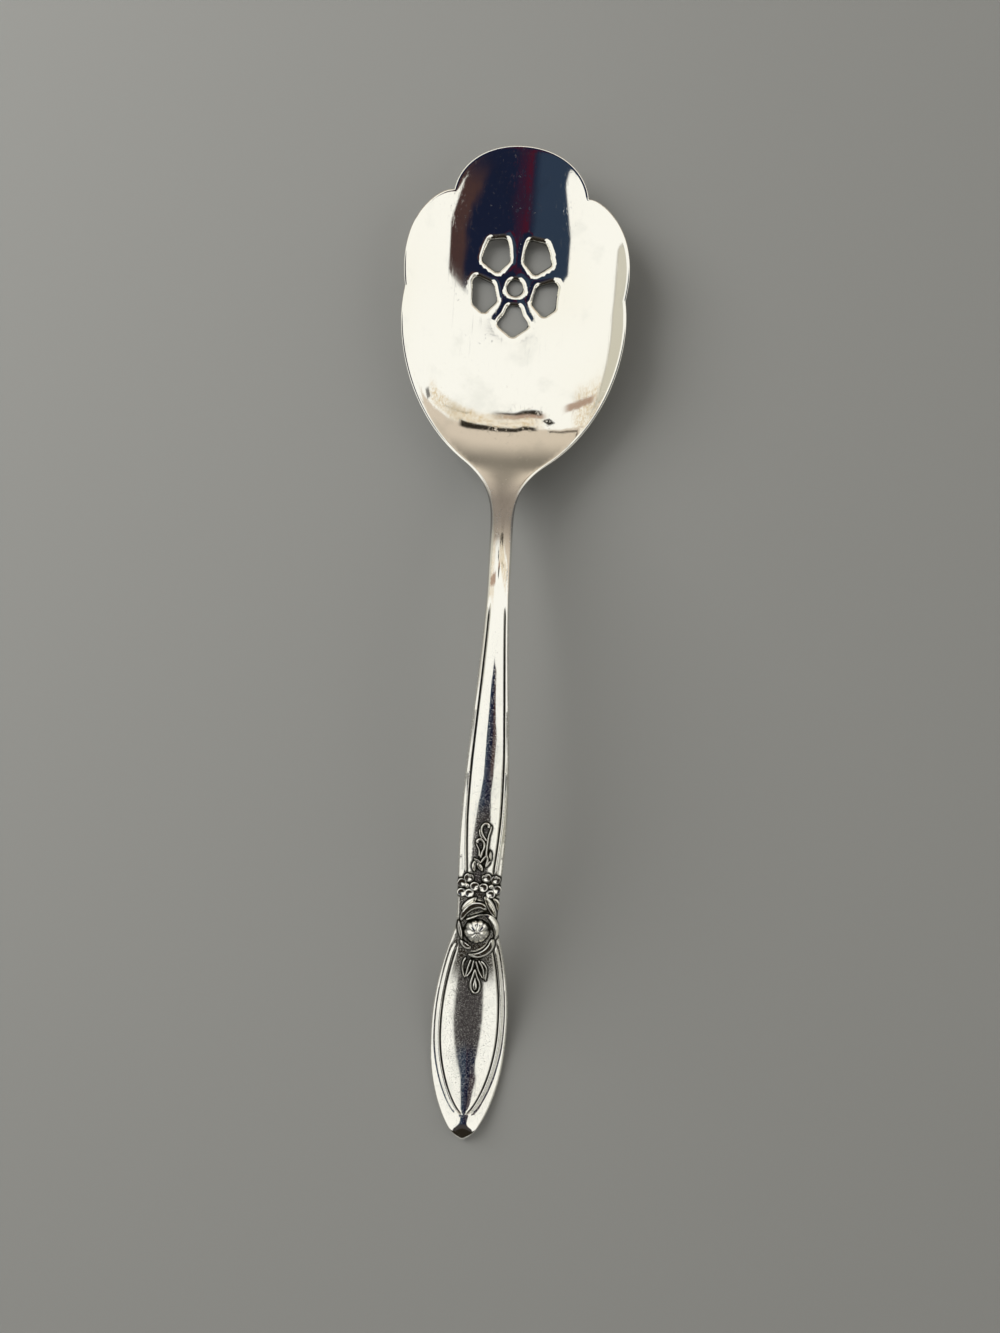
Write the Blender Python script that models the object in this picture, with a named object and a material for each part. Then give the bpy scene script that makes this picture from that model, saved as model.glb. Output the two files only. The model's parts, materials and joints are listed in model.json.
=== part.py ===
"""Pierced sugar spoon with a scalloped bowl and a flowered handle.

The spoon lies on a table with its hollow up and its bowl tip towards +Y.
A station is a distance along the spoon from the bowl tip towards the handle end.
Lengths are in metres. The real spoon is one struck piece of metal: its bowl, neck, stem,
handle end and raised ornaments are modelled as separate solids, a narrow gap apart.
"""
from math import atan2, cos, exp, hypot, radians, sin, sqrt, tan

import bmesh
import bpy
from mathutils import Vector

# Lengths along the spoon
BOWL_LENGTH = 0.0480
NECK_LENGTH = 0.0180
STEM_LENGTH = 0.0340
END_LENGTH = 0.0524
CLEARANCE = 0.0003

# Bowl outline: a tip lobe and two lobes on each side, parted by two pairs of notches
TIP_EDGE_HALF_WIDTH = 0.0012
TIP_LOBE_HALF_WIDTH = 0.0105
TIP_LOBE_REACH = 0.0082
TIP_LOBE_POWER = 2.15
FIRST_NOTCH = 0.0065
SECOND_NOTCH = 0.0224
SECOND_NOTCH_HALF_WIDTH = 0.0167
UPPER_LOBE_SWELL = 0.0090
UPPER_LOBE_STEEPNESS = 0.6
LOWER_LOBE_BULGE = 0.0037
HEEL_HALF_WIDTH = 0.0064

# Bowl form: the dish rises from its deepest point with a power of the distance
DISH_DEPTH = 0.0062
DISH_DEEPEST = 0.0255
DISH_SIDE_REACH = 0.0168
DISH_REAR_REACH = 0.0240
DISH_POWER = 2.7
SHEET = 0.0011

# Piercing: a round hole with five petals around it, one of them towards the handle. A petal's
# corners are given as distance behind the hole and distance to the right, for the right-hand side
PIERCING_STATION = 0.0192
HOLE_DIAMETER = 0.0025
PETAL_CORNER_RADIUS = 0.0005
LOWER_PETAL = ((0.00275, 0.00095), (0.0043, 0.00155), (0.0058, 0.0027), (0.0078, 0.0))
SIDE_PETAL = (
    (-0.00045, 0.0034), (0.00225, 0.0027), (0.00445, 0.0047), (0.0031, 0.00645), (0.0013, 0.0065),
    (-0.0004, 0.00675), (-0.00135, 0.0061),
)
UPPER_PETAL = (
    (-0.0020, 0.0029), (-0.0036, 0.0055), (-0.0054, 0.00505), (-0.0069, 0.0044), (-0.00735, 0.0017),
    (-0.00595, 0.0013), (-0.00405, 0.00105),
)

# Handle outline
WAIST_RUN = 0.0112
WAIST_HALF_WIDTH = 0.00165
STEM_HALF_WIDTH = 0.0033
FLARE_OVERRUN = 0.0030
PANEL_LENGTH = 0.0170
PANEL_HALF_WIDTH = 0.0030
SHOULDER_FLARE = 0.30
BLADE_HALF_WIDTH = 0.0059
BLADE_END_RUN = 0.0177
BLADE_END_FULLNESS = 2.4
BLADE_END_POWER = 0.70
BLADE_TIP_HALF_WIDTH = 0.0006

# Handle form: an arch that rises behind the heel and comes down to lie level at its end
ARCH_RUN = 0.0410
ARCH_HEIGHT = 0.0186
LEVEL_RUN = 0.0100
NECK_THICKNESS = 0.0028
END_THICKNESS = 0.0025
BELLY = 0.0004

# Upper side of the handle: a ridge, whose sides have a slope and whose top is rounded over a
# share of the half width. The round neck turns into a sharp ridge, which grows flatter along the
# stem and sharp again between two distances from the handle end. The very end is a nose that
# bends down
NECK_PITCH = 0.55
BLADE_PITCH = 0.28
TIP_PITCH = 0.32
NECK_SOFTNESS = 0.45
STEM_SOFTNESS = 0.14
BLADE_SOFTNESS = 0.35
TIP_SOFTNESS = 0.08
RIDGE_START = 0.0640
FLATTENING_START = 0.0770
FLATTENING_END = 0.1050
SHARPENING_START = 0.0237
SHARPENING_END = 0.0040
NOSE_RUN = 0.0036
NOSE_PITCH = 0.42
NOSE_BEND = 0.0005

# The underside is cut flat this deep where the spoon rests
REST_CUT = 0.0003

# Raised ornament
RELIEF_HEIGHT = 0.0006
ROSE_HEIGHT = 0.0009
LOBE_DIP = 0.30
BEAD_SHARE = 0.45
BEAD_WIDTH = 0.35

# Blossoms: distance past the stem, distance to the right, radius, petals and height
BLOSSOMS = {
    "left_blossom": (0.0111, -0.0019, 0.0015, 6, RELIEF_HEIGHT),
    "right_blossom": (0.0112, 0.00185, 0.0015, 6, RELIEF_HEIGHT),
    "rose": (0.0185, 0.00005, 0.0019, 5, ROSE_HEIGHT),
}

# Leaves, petals and buds: root, bend and tip, each as distance past the stem and distance
# to the right, then the width and how much fuller the root half is than the tip half
LEAVES = {
    "upper_bud": ((0.0018, 0.00035), (0.0036, 0.0010), (0.0060, 0.0007), 0.0011, 0.6),
    "lower_bud": ((0.0035, -0.0005), (0.0048, -0.0006), (0.0072, -0.0001), 0.0011, 0.6),
    "left_sepal": ((0.0066, -0.0021), (0.0076, -0.0013), (0.0084, -0.00035), 0.0009, 0.0),
    "right_sepal": ((0.0066, 0.0016), (0.0076, 0.0010), (0.0084, 0.00015), 0.0009, 0.0),
    "left_leaf": ((0.0128, -0.0005), (0.0135, -0.0016), (0.0146, -0.0024), 0.0008, 0.2),
    "right_leaf": ((0.01295, 0.00095), (0.0140, 0.0017), (0.0154, 0.0026), 0.0009, 0.2),
    "outer_leaf": ((0.0131, 0.0027), (0.0139, 0.0031), (0.0150, 0.0033), 0.0006, 0.0),
    "rose_top_petal": ((0.0154, -0.0020), (0.0134, 0.0004), (0.0153, 0.0012), 0.0007, 0.0),
    "rose_right_petal": ((0.0162, 0.00185), (0.0166, 0.0030), (0.0186, 0.00305), 0.0009, 0.0),
    "rose_left_petal": ((0.0170, -0.0023), (0.0192, -0.0034), (0.0210, -0.0009), 0.0008, 0.0),
    "rose_lower_petal": ((0.0219, -0.0011), (0.0229, 0.0016), (0.0196, 0.0026), 0.0009, 0.0),
    "left_drop_leaf": ((0.0232, -0.0003), (0.0246, -0.0009), (0.0263, -0.0011), 0.0008, 0.2),
    "right_drop_leaf": ((0.0236, 0.0006), (0.0250, 0.0013), (0.0266, 0.0021), 0.0008, 0.2),
    "centre_drop": ((0.0252, 0.0003), (0.0270, 0.0005), (0.0288, 0.0006), 0.0016, -0.3),
}

# Finishes: colour, roughness
BOWL_FINISH = ((0.91, 0.90, 0.87), 0.08)
HANDLE_FINISH = ((0.89, 0.88, 0.85), 0.12)
RELIEF_FINISH = ((0.80, 0.79, 0.76), 0.20)

# How finely the surfaces are divided, and how far their rows are crowded at the tight curves
BOWL_COLUMNS = 22
TIP_LOBE_ROWS = 8
TIP_LOBE_CROWDING = 2.0
UPPER_LOBE_ROWS = 10
UPPER_LOBE_CROWDING = 2.2
LOWER_LOBE_ROWS = 13
HANDLE_COLUMNS = 14
NECK_ROWS = 10
STEM_ROWS = 12
PANEL_ROWS = 14
BLADE_END_ROWS = 10
BLADE_END_CROWDING = 1.6
SHARP_EDGE = 40.0
CORNER_STEPS = 5
HOLE_SIDES = 32
LEAF_SIDES = 12
LEAF_RINGS = 10
BLOSSOM_SIDES_PER_PETAL = 6
BLOSSOM_RINGS = 8

# Stations worked out from the lengths
HEEL = BOWL_LENGTH
STEM_START = HEEL + NECK_LENGTH
STEM_END = STEM_START + STEM_LENGTH
LENGTH = STEM_END + END_LENGTH
WAIST = HEEL + WAIST_RUN
ARCH = HEEL + ARCH_RUN
STEM_WIDEST = STEM_END + FLARE_OVERRUN
SHOULDER = STEM_END + PANEL_LENGTH
WIDEST = LENGTH - BLADE_END_RUN
LEVEL = LENGTH - LEVEL_RUN


def ease(first, last, station):
    """Smooth step from 0 at the first station to 1 at the last."""
    share = min(max((station - first) / (last - first), 0.0), 1.0)
    return share * share * (3.0 - 2.0 * share)


def hermite(station, start, end):
    """Cubic between two places, each given as station, value and slope."""
    run = end[0] - start[0]
    u = (station - start[0]) / run
    from_start = (2 * u**3 - 3 * u**2 + 1) * start[1] + (u**3 - 2 * u**2 + u) * run * start[2]
    from_end = (3 * u**2 - 2 * u**3) * end[1] + (u**3 - u**2) * run * end[2]
    return from_start + from_end


def lobe_circle(start, end, bulge):
    """Centre and radius of the arc from start to end that stands out by bulge from its chord."""
    chord = end - start
    radius = (chord.length_squared / 4 + bulge**2) / (2 * bulge)
    outward = Vector((-chord.y, chord.x)).normalized()
    return (start + end) / 2 - outward * (radius - bulge), radius


def tip_lobe(station):
    """Half width of the rounded lobe at the bowl tip."""
    run = (TIP_LOBE_REACH - station) / TIP_LOBE_REACH
    half = TIP_LOBE_HALF_WIDTH * (1 - run**TIP_LOBE_POWER) ** (1 / TIP_LOBE_POWER)
    return max(half, TIP_EDGE_HALF_WIDTH)


def upper_lobe(station, first, second):
    """Half width on an upper side lobe, which leaves the first notch steeply."""
    share = (station - first.x) / (second.x - first.x)
    swell = UPPER_LOBE_SWELL * share**UPPER_LOBE_STEEPNESS * (1 - share)
    return first.lerp(second, share).y + swell


def lower_lobe(station, second, heel):
    """Half width on a lower side lobe."""
    centre, radius = lobe_circle(second, heel, LOWER_LOBE_BULGE)
    return centre.y + sqrt(radius**2 - (station - centre.x) ** 2)


def blade_end(station):
    """Half width of the handle end, which rounds off to a blunt point."""
    share = (station - WIDEST) / BLADE_END_RUN
    half = BLADE_HALF_WIDTH * max(1 - share**BLADE_END_FULLNESS, 0.0) ** BLADE_END_POWER
    return max(half, BLADE_TIP_HALF_WIDTH)


def half_width(station):
    """Half the width of the spoon in plan."""
    first = Vector((FIRST_NOTCH, tip_lobe(FIRST_NOTCH)))
    second = Vector((SECOND_NOTCH, SECOND_NOTCH_HALF_WIDTH))
    heel = Vector((HEEL, HEEL_HALF_WIDTH))
    if station <= FIRST_NOTCH:
        return tip_lobe(station)
    if station <= SECOND_NOTCH:
        return upper_lobe(station, first, second)
    if station <= HEEL:
        return lower_lobe(station, second, heel)
    if station <= WAIST:
        centre, _ = lobe_circle(second, heel, LOWER_LOBE_BULGE)
        heel_slope = (centre.x - heel.x) / (heel.y - centre.y)
        return hermite(station, (HEEL, HEEL_HALF_WIDTH, heel_slope), (WAIST, WAIST_HALF_WIDTH, 0.0))
    if station <= STEM_START:
        return WAIST_HALF_WIDTH
    widest = (STEM_WIDEST, STEM_HALF_WIDTH, 0.0)
    if station <= STEM_WIDEST:
        return hermite(station, (STEM_START, WAIST_HALF_WIDTH, 0.0), widest)
    if station <= SHOULDER:
        return hermite(station, widest, (SHOULDER, PANEL_HALF_WIDTH, 0.0))
    if station <= WIDEST:
        start = (SHOULDER, PANEL_HALF_WIDTH, SHOULDER_FLARE)
        return hermite(station, start, (WIDEST, BLADE_HALF_WIDTH, 0.0))
    return blade_end(station)


def dish_rise(station, x):
    """Height of the dish over its deepest point."""
    run = station - DISH_DEEPEST
    reach = DISH_REAR_REACH if run > 0 else DISH_DEEPEST
    return DISH_DEPTH * (abs(x / DISH_SIDE_REACH) ** DISH_POWER + abs(run / reach) ** DISH_POWER)


def axis_height(station):
    """Height of the upper side on the axis."""
    if station <= HEEL:
        return SHEET - REST_CUT + dish_rise(station, 0.0)
    top_of_arch = (ARCH, ARCH_HEIGHT, 0.0)
    if station <= ARCH:
        heel_height = axis_height(HEEL)
        heel_slope = DISH_POWER * dish_rise(HEEL, 0.0) / (HEEL - DISH_DEEPEST)
        return hermite(station, (HEEL, heel_height, heel_slope), top_of_arch)
    if station <= LEVEL:
        return hermite(station, top_of_arch, (LEVEL, END_THICKNESS - REST_CUT, 0.0))
    return END_THICKNESS - REST_CUT


def thickness(station):
    """Thickness on the axis behind the heel."""
    if station <= WAIST:
        return SHEET + (NECK_THICKNESS - SHEET) * ease(HEEL, WAIST, station)
    return NECK_THICKNESS + (END_THICKNESS - NECK_THICKNESS) * ease(WAIST, LEVEL, station)


def ridge_drop(station, x):
    """How far the softly ridged upper side of the handle falls away from its axis."""
    ridge = ease(RIDGE_START, FLATTENING_START, station)
    stem = ease(FLATTENING_START, FLATTENING_END, station)
    end = ease(LENGTH - SHARPENING_START, LENGTH - SHARPENING_END, station)
    pitch = NECK_PITCH + (BLADE_PITCH - NECK_PITCH) * stem + (TIP_PITCH - BLADE_PITCH) * end
    softness = NECK_SOFTNESS + (STEM_SOFTNESS - NECK_SOFTNESS) * ridge
    softness += (BLADE_SOFTNESS - STEM_SOFTNESS) * stem + (TIP_SOFTNESS - BLADE_SOFTNESS) * end
    soft = softness * half_width(station)
    return pitch * (hypot(x, soft) - soft)


def nose_drop(station):
    """How far the last stretch of the handle bends down."""
    run = station - (LENGTH - NOSE_RUN)
    return NOSE_PITCH * (run + hypot(run, NOSE_BEND)) / 2


def top(station, x):
    """Height of the upper side: a dish in the bowl, which turns into a ridge on the handle."""
    dish = dish_rise(station, x) - dish_rise(station, 0.0)
    ridge = -ridge_drop(station, x) - nose_drop(station)
    handle_share = ease(HEEL, WAIST, station)
    return axis_height(station) + (1 - handle_share) * dish + handle_share * ridge


def bottom(station, x):
    """Height of the underside, which is never below the table."""
    under_bowl = top(station, x) - SHEET
    belly = BELLY * (x / half_width(station)) ** 2
    under_handle = axis_height(station) - thickness(station) + belly
    handle_share = ease(HEEL, WAIST, station)
    return max(0.0, (1 - handle_share) * under_bowl + handle_share * under_handle)


def place(station, x, height):
    """World place of a station, a distance to the right and a height."""
    return Vector((x, LENGTH / 2 - station, height))


def spread(first, last, count, crowding=1.0):
    """Stations from the first to the last, closer together at the first where crowding is over 1."""
    return [first + (last - first) * (step / count) ** crowding for step in range(count + 1)]


def finish(name, look):
    """Polished metal material."""
    colour, roughness = look
    material = bpy.data.materials.new(name)
    material.use_nodes = True
    shader = material.node_tree.nodes["Principled BSDF"]
    shader.inputs["Base Color"].default_value = (*colour, 1.0)
    shader.inputs["Metallic"].default_value = 1.0
    shader.inputs["Roughness"].default_value = roughness
    return material


def add_part(name, shape, collection, material):
    """Object made from a finished bmesh."""
    bmesh.ops.recalc_face_normals(shape, faces=shape.faces)
    if shape.calc_volume(signed=True) < 0:
        bmesh.ops.reverse_faces(shape, faces=shape.faces)
    mesh = bpy.data.meshes.new(name)
    shape.to_mesh(mesh)
    shape.free()
    mesh.materials.append(material)
    mesh.shade_smooth()
    mesh.set_sharp_from_angle(angle=radians(SHARP_EDGE))
    part = bpy.data.objects.new(name, mesh)
    collection.objects.link(part)
    return part


def section(name, stations, columns, collection, material):
    """Closed length of the spoon between its upper side and its underside."""
    shape = bmesh.new()
    rows = len(stations) - 1
    for surface in (top, bottom):
        grid = bmesh.ops.create_grid(shape, x_segments=columns, y_segments=rows, size=1.0)
        for vert in grid["verts"]:
            station = stations[round((1 - vert.co.y) / 2 * rows)]
            x = vert.co.x * half_width(station)
            vert.co = place(station, x, surface(station, x))
    rims = [edge for edge in shape.edges if edge.is_boundary]
    bmesh.ops.bridge_loops(shape, edges=rims)
    return add_part(name, shape, collection, material)


def rounded_corners(corners, radius):
    """Points of a closed outline whose corners are arcs."""
    points = []
    for index, corner in enumerate(corners):
        before = (corners[index - 1] - corner).normalized()
        after = (corners[(index + 1) % len(corners)] - corner).normalized()
        half_angle = before.angle(after) / 2
        inward = (before + after).normalized()
        centre = corner + inward * radius / sin(half_angle)
        start = corner + before * radius / tan(half_angle) - centre
        end = corner + after * radius / tan(half_angle) - centre
        for step in range(CORNER_STEPS + 1):
            share = step / CORNER_STEPS
            points.append(centre + start.lerp(end, share).normalized() * radius)
    return points


def mirrored(corners):
    """The same corners on the left of the axis, from the last to the first."""
    return tuple((behind, -right) for behind, right in reversed(corners))


def petals():
    """Corners of every petal."""
    lower = LOWER_PETAL + mirrored(LOWER_PETAL)[1:]
    return lower, SIDE_PETAL, mirrored(SIDE_PETAL), UPPER_PETAL, mirrored(UPPER_PETAL)


def petal_cutter(name, corners, collection):
    """Upright prism that pierces one petal, as a filled and extruded outline made into a mesh."""
    outline = bpy.data.curves.new("petal_outline", "CURVE")
    outline.dimensions = "2D"
    outline.fill_mode = "BOTH"
    outline.extrude = DISH_DEPTH
    points = rounded_corners([Vector(corner) for corner in corners], PETAL_CORNER_RADIUS)
    spline = outline.splines.new("POLY")
    spline.points.add(len(points) - 1)
    for spline_point, point in zip(spline.points, points):
        spline_point.co = (point.y, -point.x, 0.0, 1.0)
    spline.use_cyclic_u = True
    drawn = bpy.data.objects.new("petal_outline", outline)
    collection.objects.link(drawn)
    drawn.location = place(PIERCING_STATION, 0.0, 0.0)
    bpy.context.view_layer.update()
    solid = bpy.data.meshes.new_from_object(drawn.evaluated_get(bpy.context.evaluated_depsgraph_get()))
    shape = bmesh.new()
    shape.from_mesh(solid)
    bmesh.ops.remove_doubles(shape, verts=shape.verts, dist=CLEARANCE / 100)
    bmesh.ops.recalc_face_normals(shape, faces=shape.faces)
    shape.to_mesh(solid)
    shape.free()
    cutter = bpy.data.objects.new(name, solid)
    cutter.matrix_world = drawn.matrix_world
    collection.objects.link(cutter)
    bpy.data.objects.remove(drawn, do_unlink=True)
    return cutter


def hole_cutter(collection):
    """Upright cylinder for the round hole in the middle of the piercing."""
    shape = bmesh.new()
    bmesh.ops.create_cone(
        shape,
        cap_ends=True,
        segments=HOLE_SIDES,
        radius1=HOLE_DIAMETER / 2,
        radius2=HOLE_DIAMETER / 2,
        depth=2 * DISH_DEPTH,
    )
    mesh = bpy.data.meshes.new("hole_cutter")
    shape.to_mesh(mesh)
    shape.free()
    cutter = bpy.data.objects.new("hole_cutter", mesh)
    cutter.location = place(PIERCING_STATION, 0.0, 0.0)
    collection.objects.link(cutter)
    return cutter


def bowl(collection, cutters, material):
    """Scalloped dish with its piercing."""
    stations = spread(0.0, FIRST_NOTCH, TIP_LOBE_ROWS, TIP_LOBE_CROWDING)
    stations += spread(FIRST_NOTCH, SECOND_NOTCH, UPPER_LOBE_ROWS, UPPER_LOBE_CROWDING)[1:]
    stations += spread(SECOND_NOTCH, HEEL, LOWER_LOBE_ROWS)[1:]
    part = section("bowl", stations, BOWL_COLUMNS, collection, material)
    tools = [hole_cutter(cutters)]
    tools += [petal_cutter("petal_cutter", corners, cutters) for corners in petals()]
    for tool in tools:
        tool.hide_render = True
        tool.display_type = "WIRE"
    piercing = part.modifiers.new("piercing", "BOOLEAN")
    piercing.operation = "DIFFERENCE"
    piercing.operand_type = "COLLECTION"
    piercing.collection = cutters


def handle(collection, material):
    """Neck, stem and handle end."""
    neck = spread(HEEL + CLEARANCE, STEM_START, NECK_ROWS)
    section("neck", neck, HANDLE_COLUMNS, collection, material)
    stem = spread(STEM_START + CLEARANCE, STEM_END, STEM_ROWS)
    section("stem", stem, HANDLE_COLUMNS, collection, material)
    to_tip = spread(LENGTH, WIDEST, BLADE_END_ROWS, BLADE_END_CROWDING)
    end = spread(STEM_END + CLEARANCE, WIDEST, PANEL_ROWS) + to_tip[-2::-1]
    section("handle_end", end, HANDLE_COLUMNS, collection, material)


def on_handle(past_stem, x, height):
    """Place of a relief point at a height over the gap that parts the relief from the handle."""
    station = STEM_END + past_stem
    return place(station, x, top(station, x) + CLEARANCE + height)


def leaf(name, design, collection, material):
    """Raised leaf, petal or bud that follows a bent line on the handle."""
    root, bend, tip, width, head = design
    root, bend, tip = Vector(root), Vector(bend), Vector(tip)
    shape = bmesh.new()
    bmesh.ops.create_uvsphere(shape, u_segments=LEAF_SIDES, v_segments=LEAF_RINGS, radius=1.0)
    for vert in shape.verts:
        along = vert.co.z
        share = (1 + along) / 2
        line = root.lerp(bend, share).lerp(bend.lerp(tip, share), share)
        ahead = (bend - root).lerp(tip - bend, share).normalized()
        sideways = Vector((-ahead.y, ahead.x))
        swell = (1 - along**2) * (1 - head * along)
        turn = atan2(vert.co.y, vert.co.x)
        spot = line + sideways * (width / 2 * swell * cos(turn))
        height = RELIEF_HEIGHT * sqrt(max(1 - along**2, 0.0)) * max(sin(turn), 0.0)
        vert.co = on_handle(spot.x, spot.y, height)
    return add_part(name, shape, collection, material)


def blossom(name, design, collection, material):
    """Raised flower with a bead in the middle and a lobed outline."""
    past_stem, right, radius, petals, height = design
    shape = bmesh.new()
    sides = petals * BLOSSOM_SIDES_PER_PETAL
    bmesh.ops.create_uvsphere(shape, u_segments=sides, v_segments=BLOSSOM_RINGS, radius=1.0)
    for vert in shape.verts:
        ring = hypot(vert.co.x, vert.co.y)
        turn = atan2(vert.co.y, vert.co.x)
        dip = LOBE_DIP * (1 - abs(cos(petals * turn / 2))) * ring
        spot = Vector((cos(turn), sin(turn))) * radius * ring * (1 - dip)
        bead = BEAD_SHARE * exp(-((ring / BEAD_WIDTH) ** 2))
        dome = (1 - BEAD_SHARE) * max(vert.co.z, 0.0)
        lift = height * (dome + bead) if vert.co.z > 0 else 0.0
        vert.co = on_handle(past_stem + spot.x, right + spot.y, lift)
    return add_part(name, shape, collection, material)


def main():
    for item in list(bpy.data.objects):
        bpy.data.objects.remove(item, do_unlink=True)
    parts = bpy.data.collections.new("pierced_sugar_spoon")
    cutters = bpy.data.collections.new("piercing_cutters")
    for collection in (parts, cutters):
        bpy.context.scene.collection.children.link(collection)
    bowl(parts, cutters, finish("bowl_metal", BOWL_FINISH))
    handle(parts, finish("handle_metal", HANDLE_FINISH))
    relief_metal = finish("relief_metal", RELIEF_FINISH)
    for name, design in BLOSSOMS.items():
        blossom(name, design, parts, relief_metal)
    for name, design in LEAVES.items():
        leaf(name, design, parts, relief_metal)


main()
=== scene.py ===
"""Looks of a pierced sugar spoon: one struck, polished body, its raised flowers and a plain stage.

A station is a distance along the spoon from the bowl tip towards the handle end, and right is
the distance from the spoon's axis. Lengths are in metres.
"""
import json
from math import pi, radians
from typing import NamedTuple

import bmesh
import bpy
import numpy as np
from mathutils import Euler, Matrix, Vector
from mathutils.geometry import delaunay_2d_cdt
from mathutils.kdtree import KDTree

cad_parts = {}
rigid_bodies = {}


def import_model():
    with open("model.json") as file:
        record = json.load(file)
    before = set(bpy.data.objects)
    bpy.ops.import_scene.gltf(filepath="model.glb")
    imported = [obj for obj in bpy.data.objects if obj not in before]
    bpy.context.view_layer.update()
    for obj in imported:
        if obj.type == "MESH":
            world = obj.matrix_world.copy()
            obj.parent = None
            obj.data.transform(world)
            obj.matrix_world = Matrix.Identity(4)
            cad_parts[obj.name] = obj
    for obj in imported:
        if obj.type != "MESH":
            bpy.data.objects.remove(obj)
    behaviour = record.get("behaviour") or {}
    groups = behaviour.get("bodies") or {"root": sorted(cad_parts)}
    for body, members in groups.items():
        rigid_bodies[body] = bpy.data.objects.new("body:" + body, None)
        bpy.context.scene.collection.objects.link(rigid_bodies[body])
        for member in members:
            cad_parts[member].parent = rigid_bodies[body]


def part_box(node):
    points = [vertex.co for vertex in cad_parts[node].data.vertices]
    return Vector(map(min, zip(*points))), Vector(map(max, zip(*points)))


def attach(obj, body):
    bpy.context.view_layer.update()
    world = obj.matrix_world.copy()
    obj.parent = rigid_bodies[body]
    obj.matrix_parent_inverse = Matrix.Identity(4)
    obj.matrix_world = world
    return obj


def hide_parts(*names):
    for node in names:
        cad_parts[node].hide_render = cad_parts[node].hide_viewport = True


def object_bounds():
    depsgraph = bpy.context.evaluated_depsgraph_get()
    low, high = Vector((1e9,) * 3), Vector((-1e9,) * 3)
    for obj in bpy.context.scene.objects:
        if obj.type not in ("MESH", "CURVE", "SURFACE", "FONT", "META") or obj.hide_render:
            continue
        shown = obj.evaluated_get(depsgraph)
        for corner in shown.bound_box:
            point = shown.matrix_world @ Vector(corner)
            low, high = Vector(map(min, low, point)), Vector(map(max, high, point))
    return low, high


bl_info = {
    "name": "Pierced sugar spoon",
    "version": (1, 0, 0),
    "blender": (4, 5, 0),
    "location": "View3D > Sidebar > Sugar spoon",
    "description": "Builds a polished sugar spoon with a pierced bowl and raised flowers",
    "category": "Add Mesh",
}

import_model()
CAD_LOW, CAD_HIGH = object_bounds()
LENGTH = CAD_HIGH.y - CAD_LOW.y
BODY = "root"
MM = 0.001


def station_where_ends(node):
    """Station at which a section of the spoon ends."""
    return LENGTH / 2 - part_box(node)[0].y


HEEL = station_where_ends("bowl")
NECK_END = station_where_ends("neck")
STEM_END = station_where_ends("stem")

# How finely the body is divided
EDGE_SPACING = 0.30 * MM
EDGE_RINGS = (0.03 * MM, 0.09 * MM, 0.18 * MM, 0.29 * MM)
EDGE_MARGIN = 0.13 * MM
RIM_RINGS = (0.40 * MM, 0.54 * MM)
HOLE_SPACING = 0.13 * MM
HOLE_RINGS = (0.05 * MM, 0.12 * MM, 0.20 * MM, 0.30 * MM, 0.42 * MM, 0.56 * MM)
# Reach of the painted shade on the hole walls and on the underside next to the holes
HOLE_WALL_SHADE_REACH = 0.20 * MM
THICKEST_ROUND = 0.48
BOWL_SPACING = 0.50 * MM
HANDLE_SPACING = 0.30 * MM
GROOVE_SPACING = 0.20 * MM
GROOVE_LINES = [line * MM for line in (
    -0.34, -0.24, -0.16, -0.08, 0.0, 0.08, 0.16, 0.24, 0.34, 0.46, 0.58, 0.68, 0.78, 0.88, 1.0, 1.12,
)]
RING_TOLERANCE = 0.9
FINE_STEPS = 600
CORNER_STEPS = 8
FIELD_SPACING = 0.03 * MM
TRIANGLES = 0
WELD = 1e-6
SHARP_EDGE = 40.0

# How finely the relief is divided
STRIP_STEPS = 36
STRIP_COLUMNS = 13
BOSS_SIDES = 72
BOSS_RINGS = 12
OUTERMOST = 0.999


def length(name, description, default):
    """Property that holds a length."""
    return bpy.props.FloatProperty(name=name, description=description, default=default, unit="LENGTH")


def share(name, description, default):
    """Property that holds a plain number."""
    return bpy.props.FloatProperty(name=name, description=description, default=default)


def colour(name, description, default):
    """Property that holds a colour."""
    return bpy.props.FloatVectorProperty(
        name=name, description=description, default=default, subtype="COLOR", min=0.0, max=1.0
    )


class BowlSizes(bpy.types.PropertyGroup):
    """Sizes of the bowl: its scalloped edge and its dish."""

    tip_half_width: length("Tip lobe half width", "Half the width of the tip lobe", 0.0105)
    tip_reach: length("Tip lobe reach", "Length over which the tip lobe rounds", 0.0082)
    tip_power: share("Tip lobe power", "Squareness of the tip lobe", 2.15)
    first_notch: length("First notch", "Station of the first pair of notches", 0.0065)
    second_notch: length("Second notch", "Station of the second pair of notches", 0.0224)
    second_half_width: length("Second notch half width", "Half width at the second notches", 0.0167)
    upper_swell: length("Upper lobe swell", "How far the upper side lobes stand out", 0.0090)
    upper_steepness: share("Upper lobe steepness", "How bluntly they leave the first notch", 0.6)
    lower_bulge: length("Lower lobe bulge", "How far the lower side lobes stand out", 0.0037)
    heel_half_width: length("Heel half width", "Half width where the bowl meets the neck", 0.0064)
    depth: length("Depth", "Height of the dish at its rim", 0.0062)
    deepest: length("Deepest", "Station of the deepest point", 0.0255)
    side_reach: length("Side reach", "Distance from the axis for full height", 0.0168)
    rear_reach: length("Rear reach", "Distance behind the deepest point for full height", 0.0240)
    power: share("Dish power", "How flat the floor of the dish is", 2.7)
    sheet: length("Sheet", "Thickness of the bowl", 0.0011)
    rim_round: length("Rim rounding", "Radius of the rounded edge", 0.00052)


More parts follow.
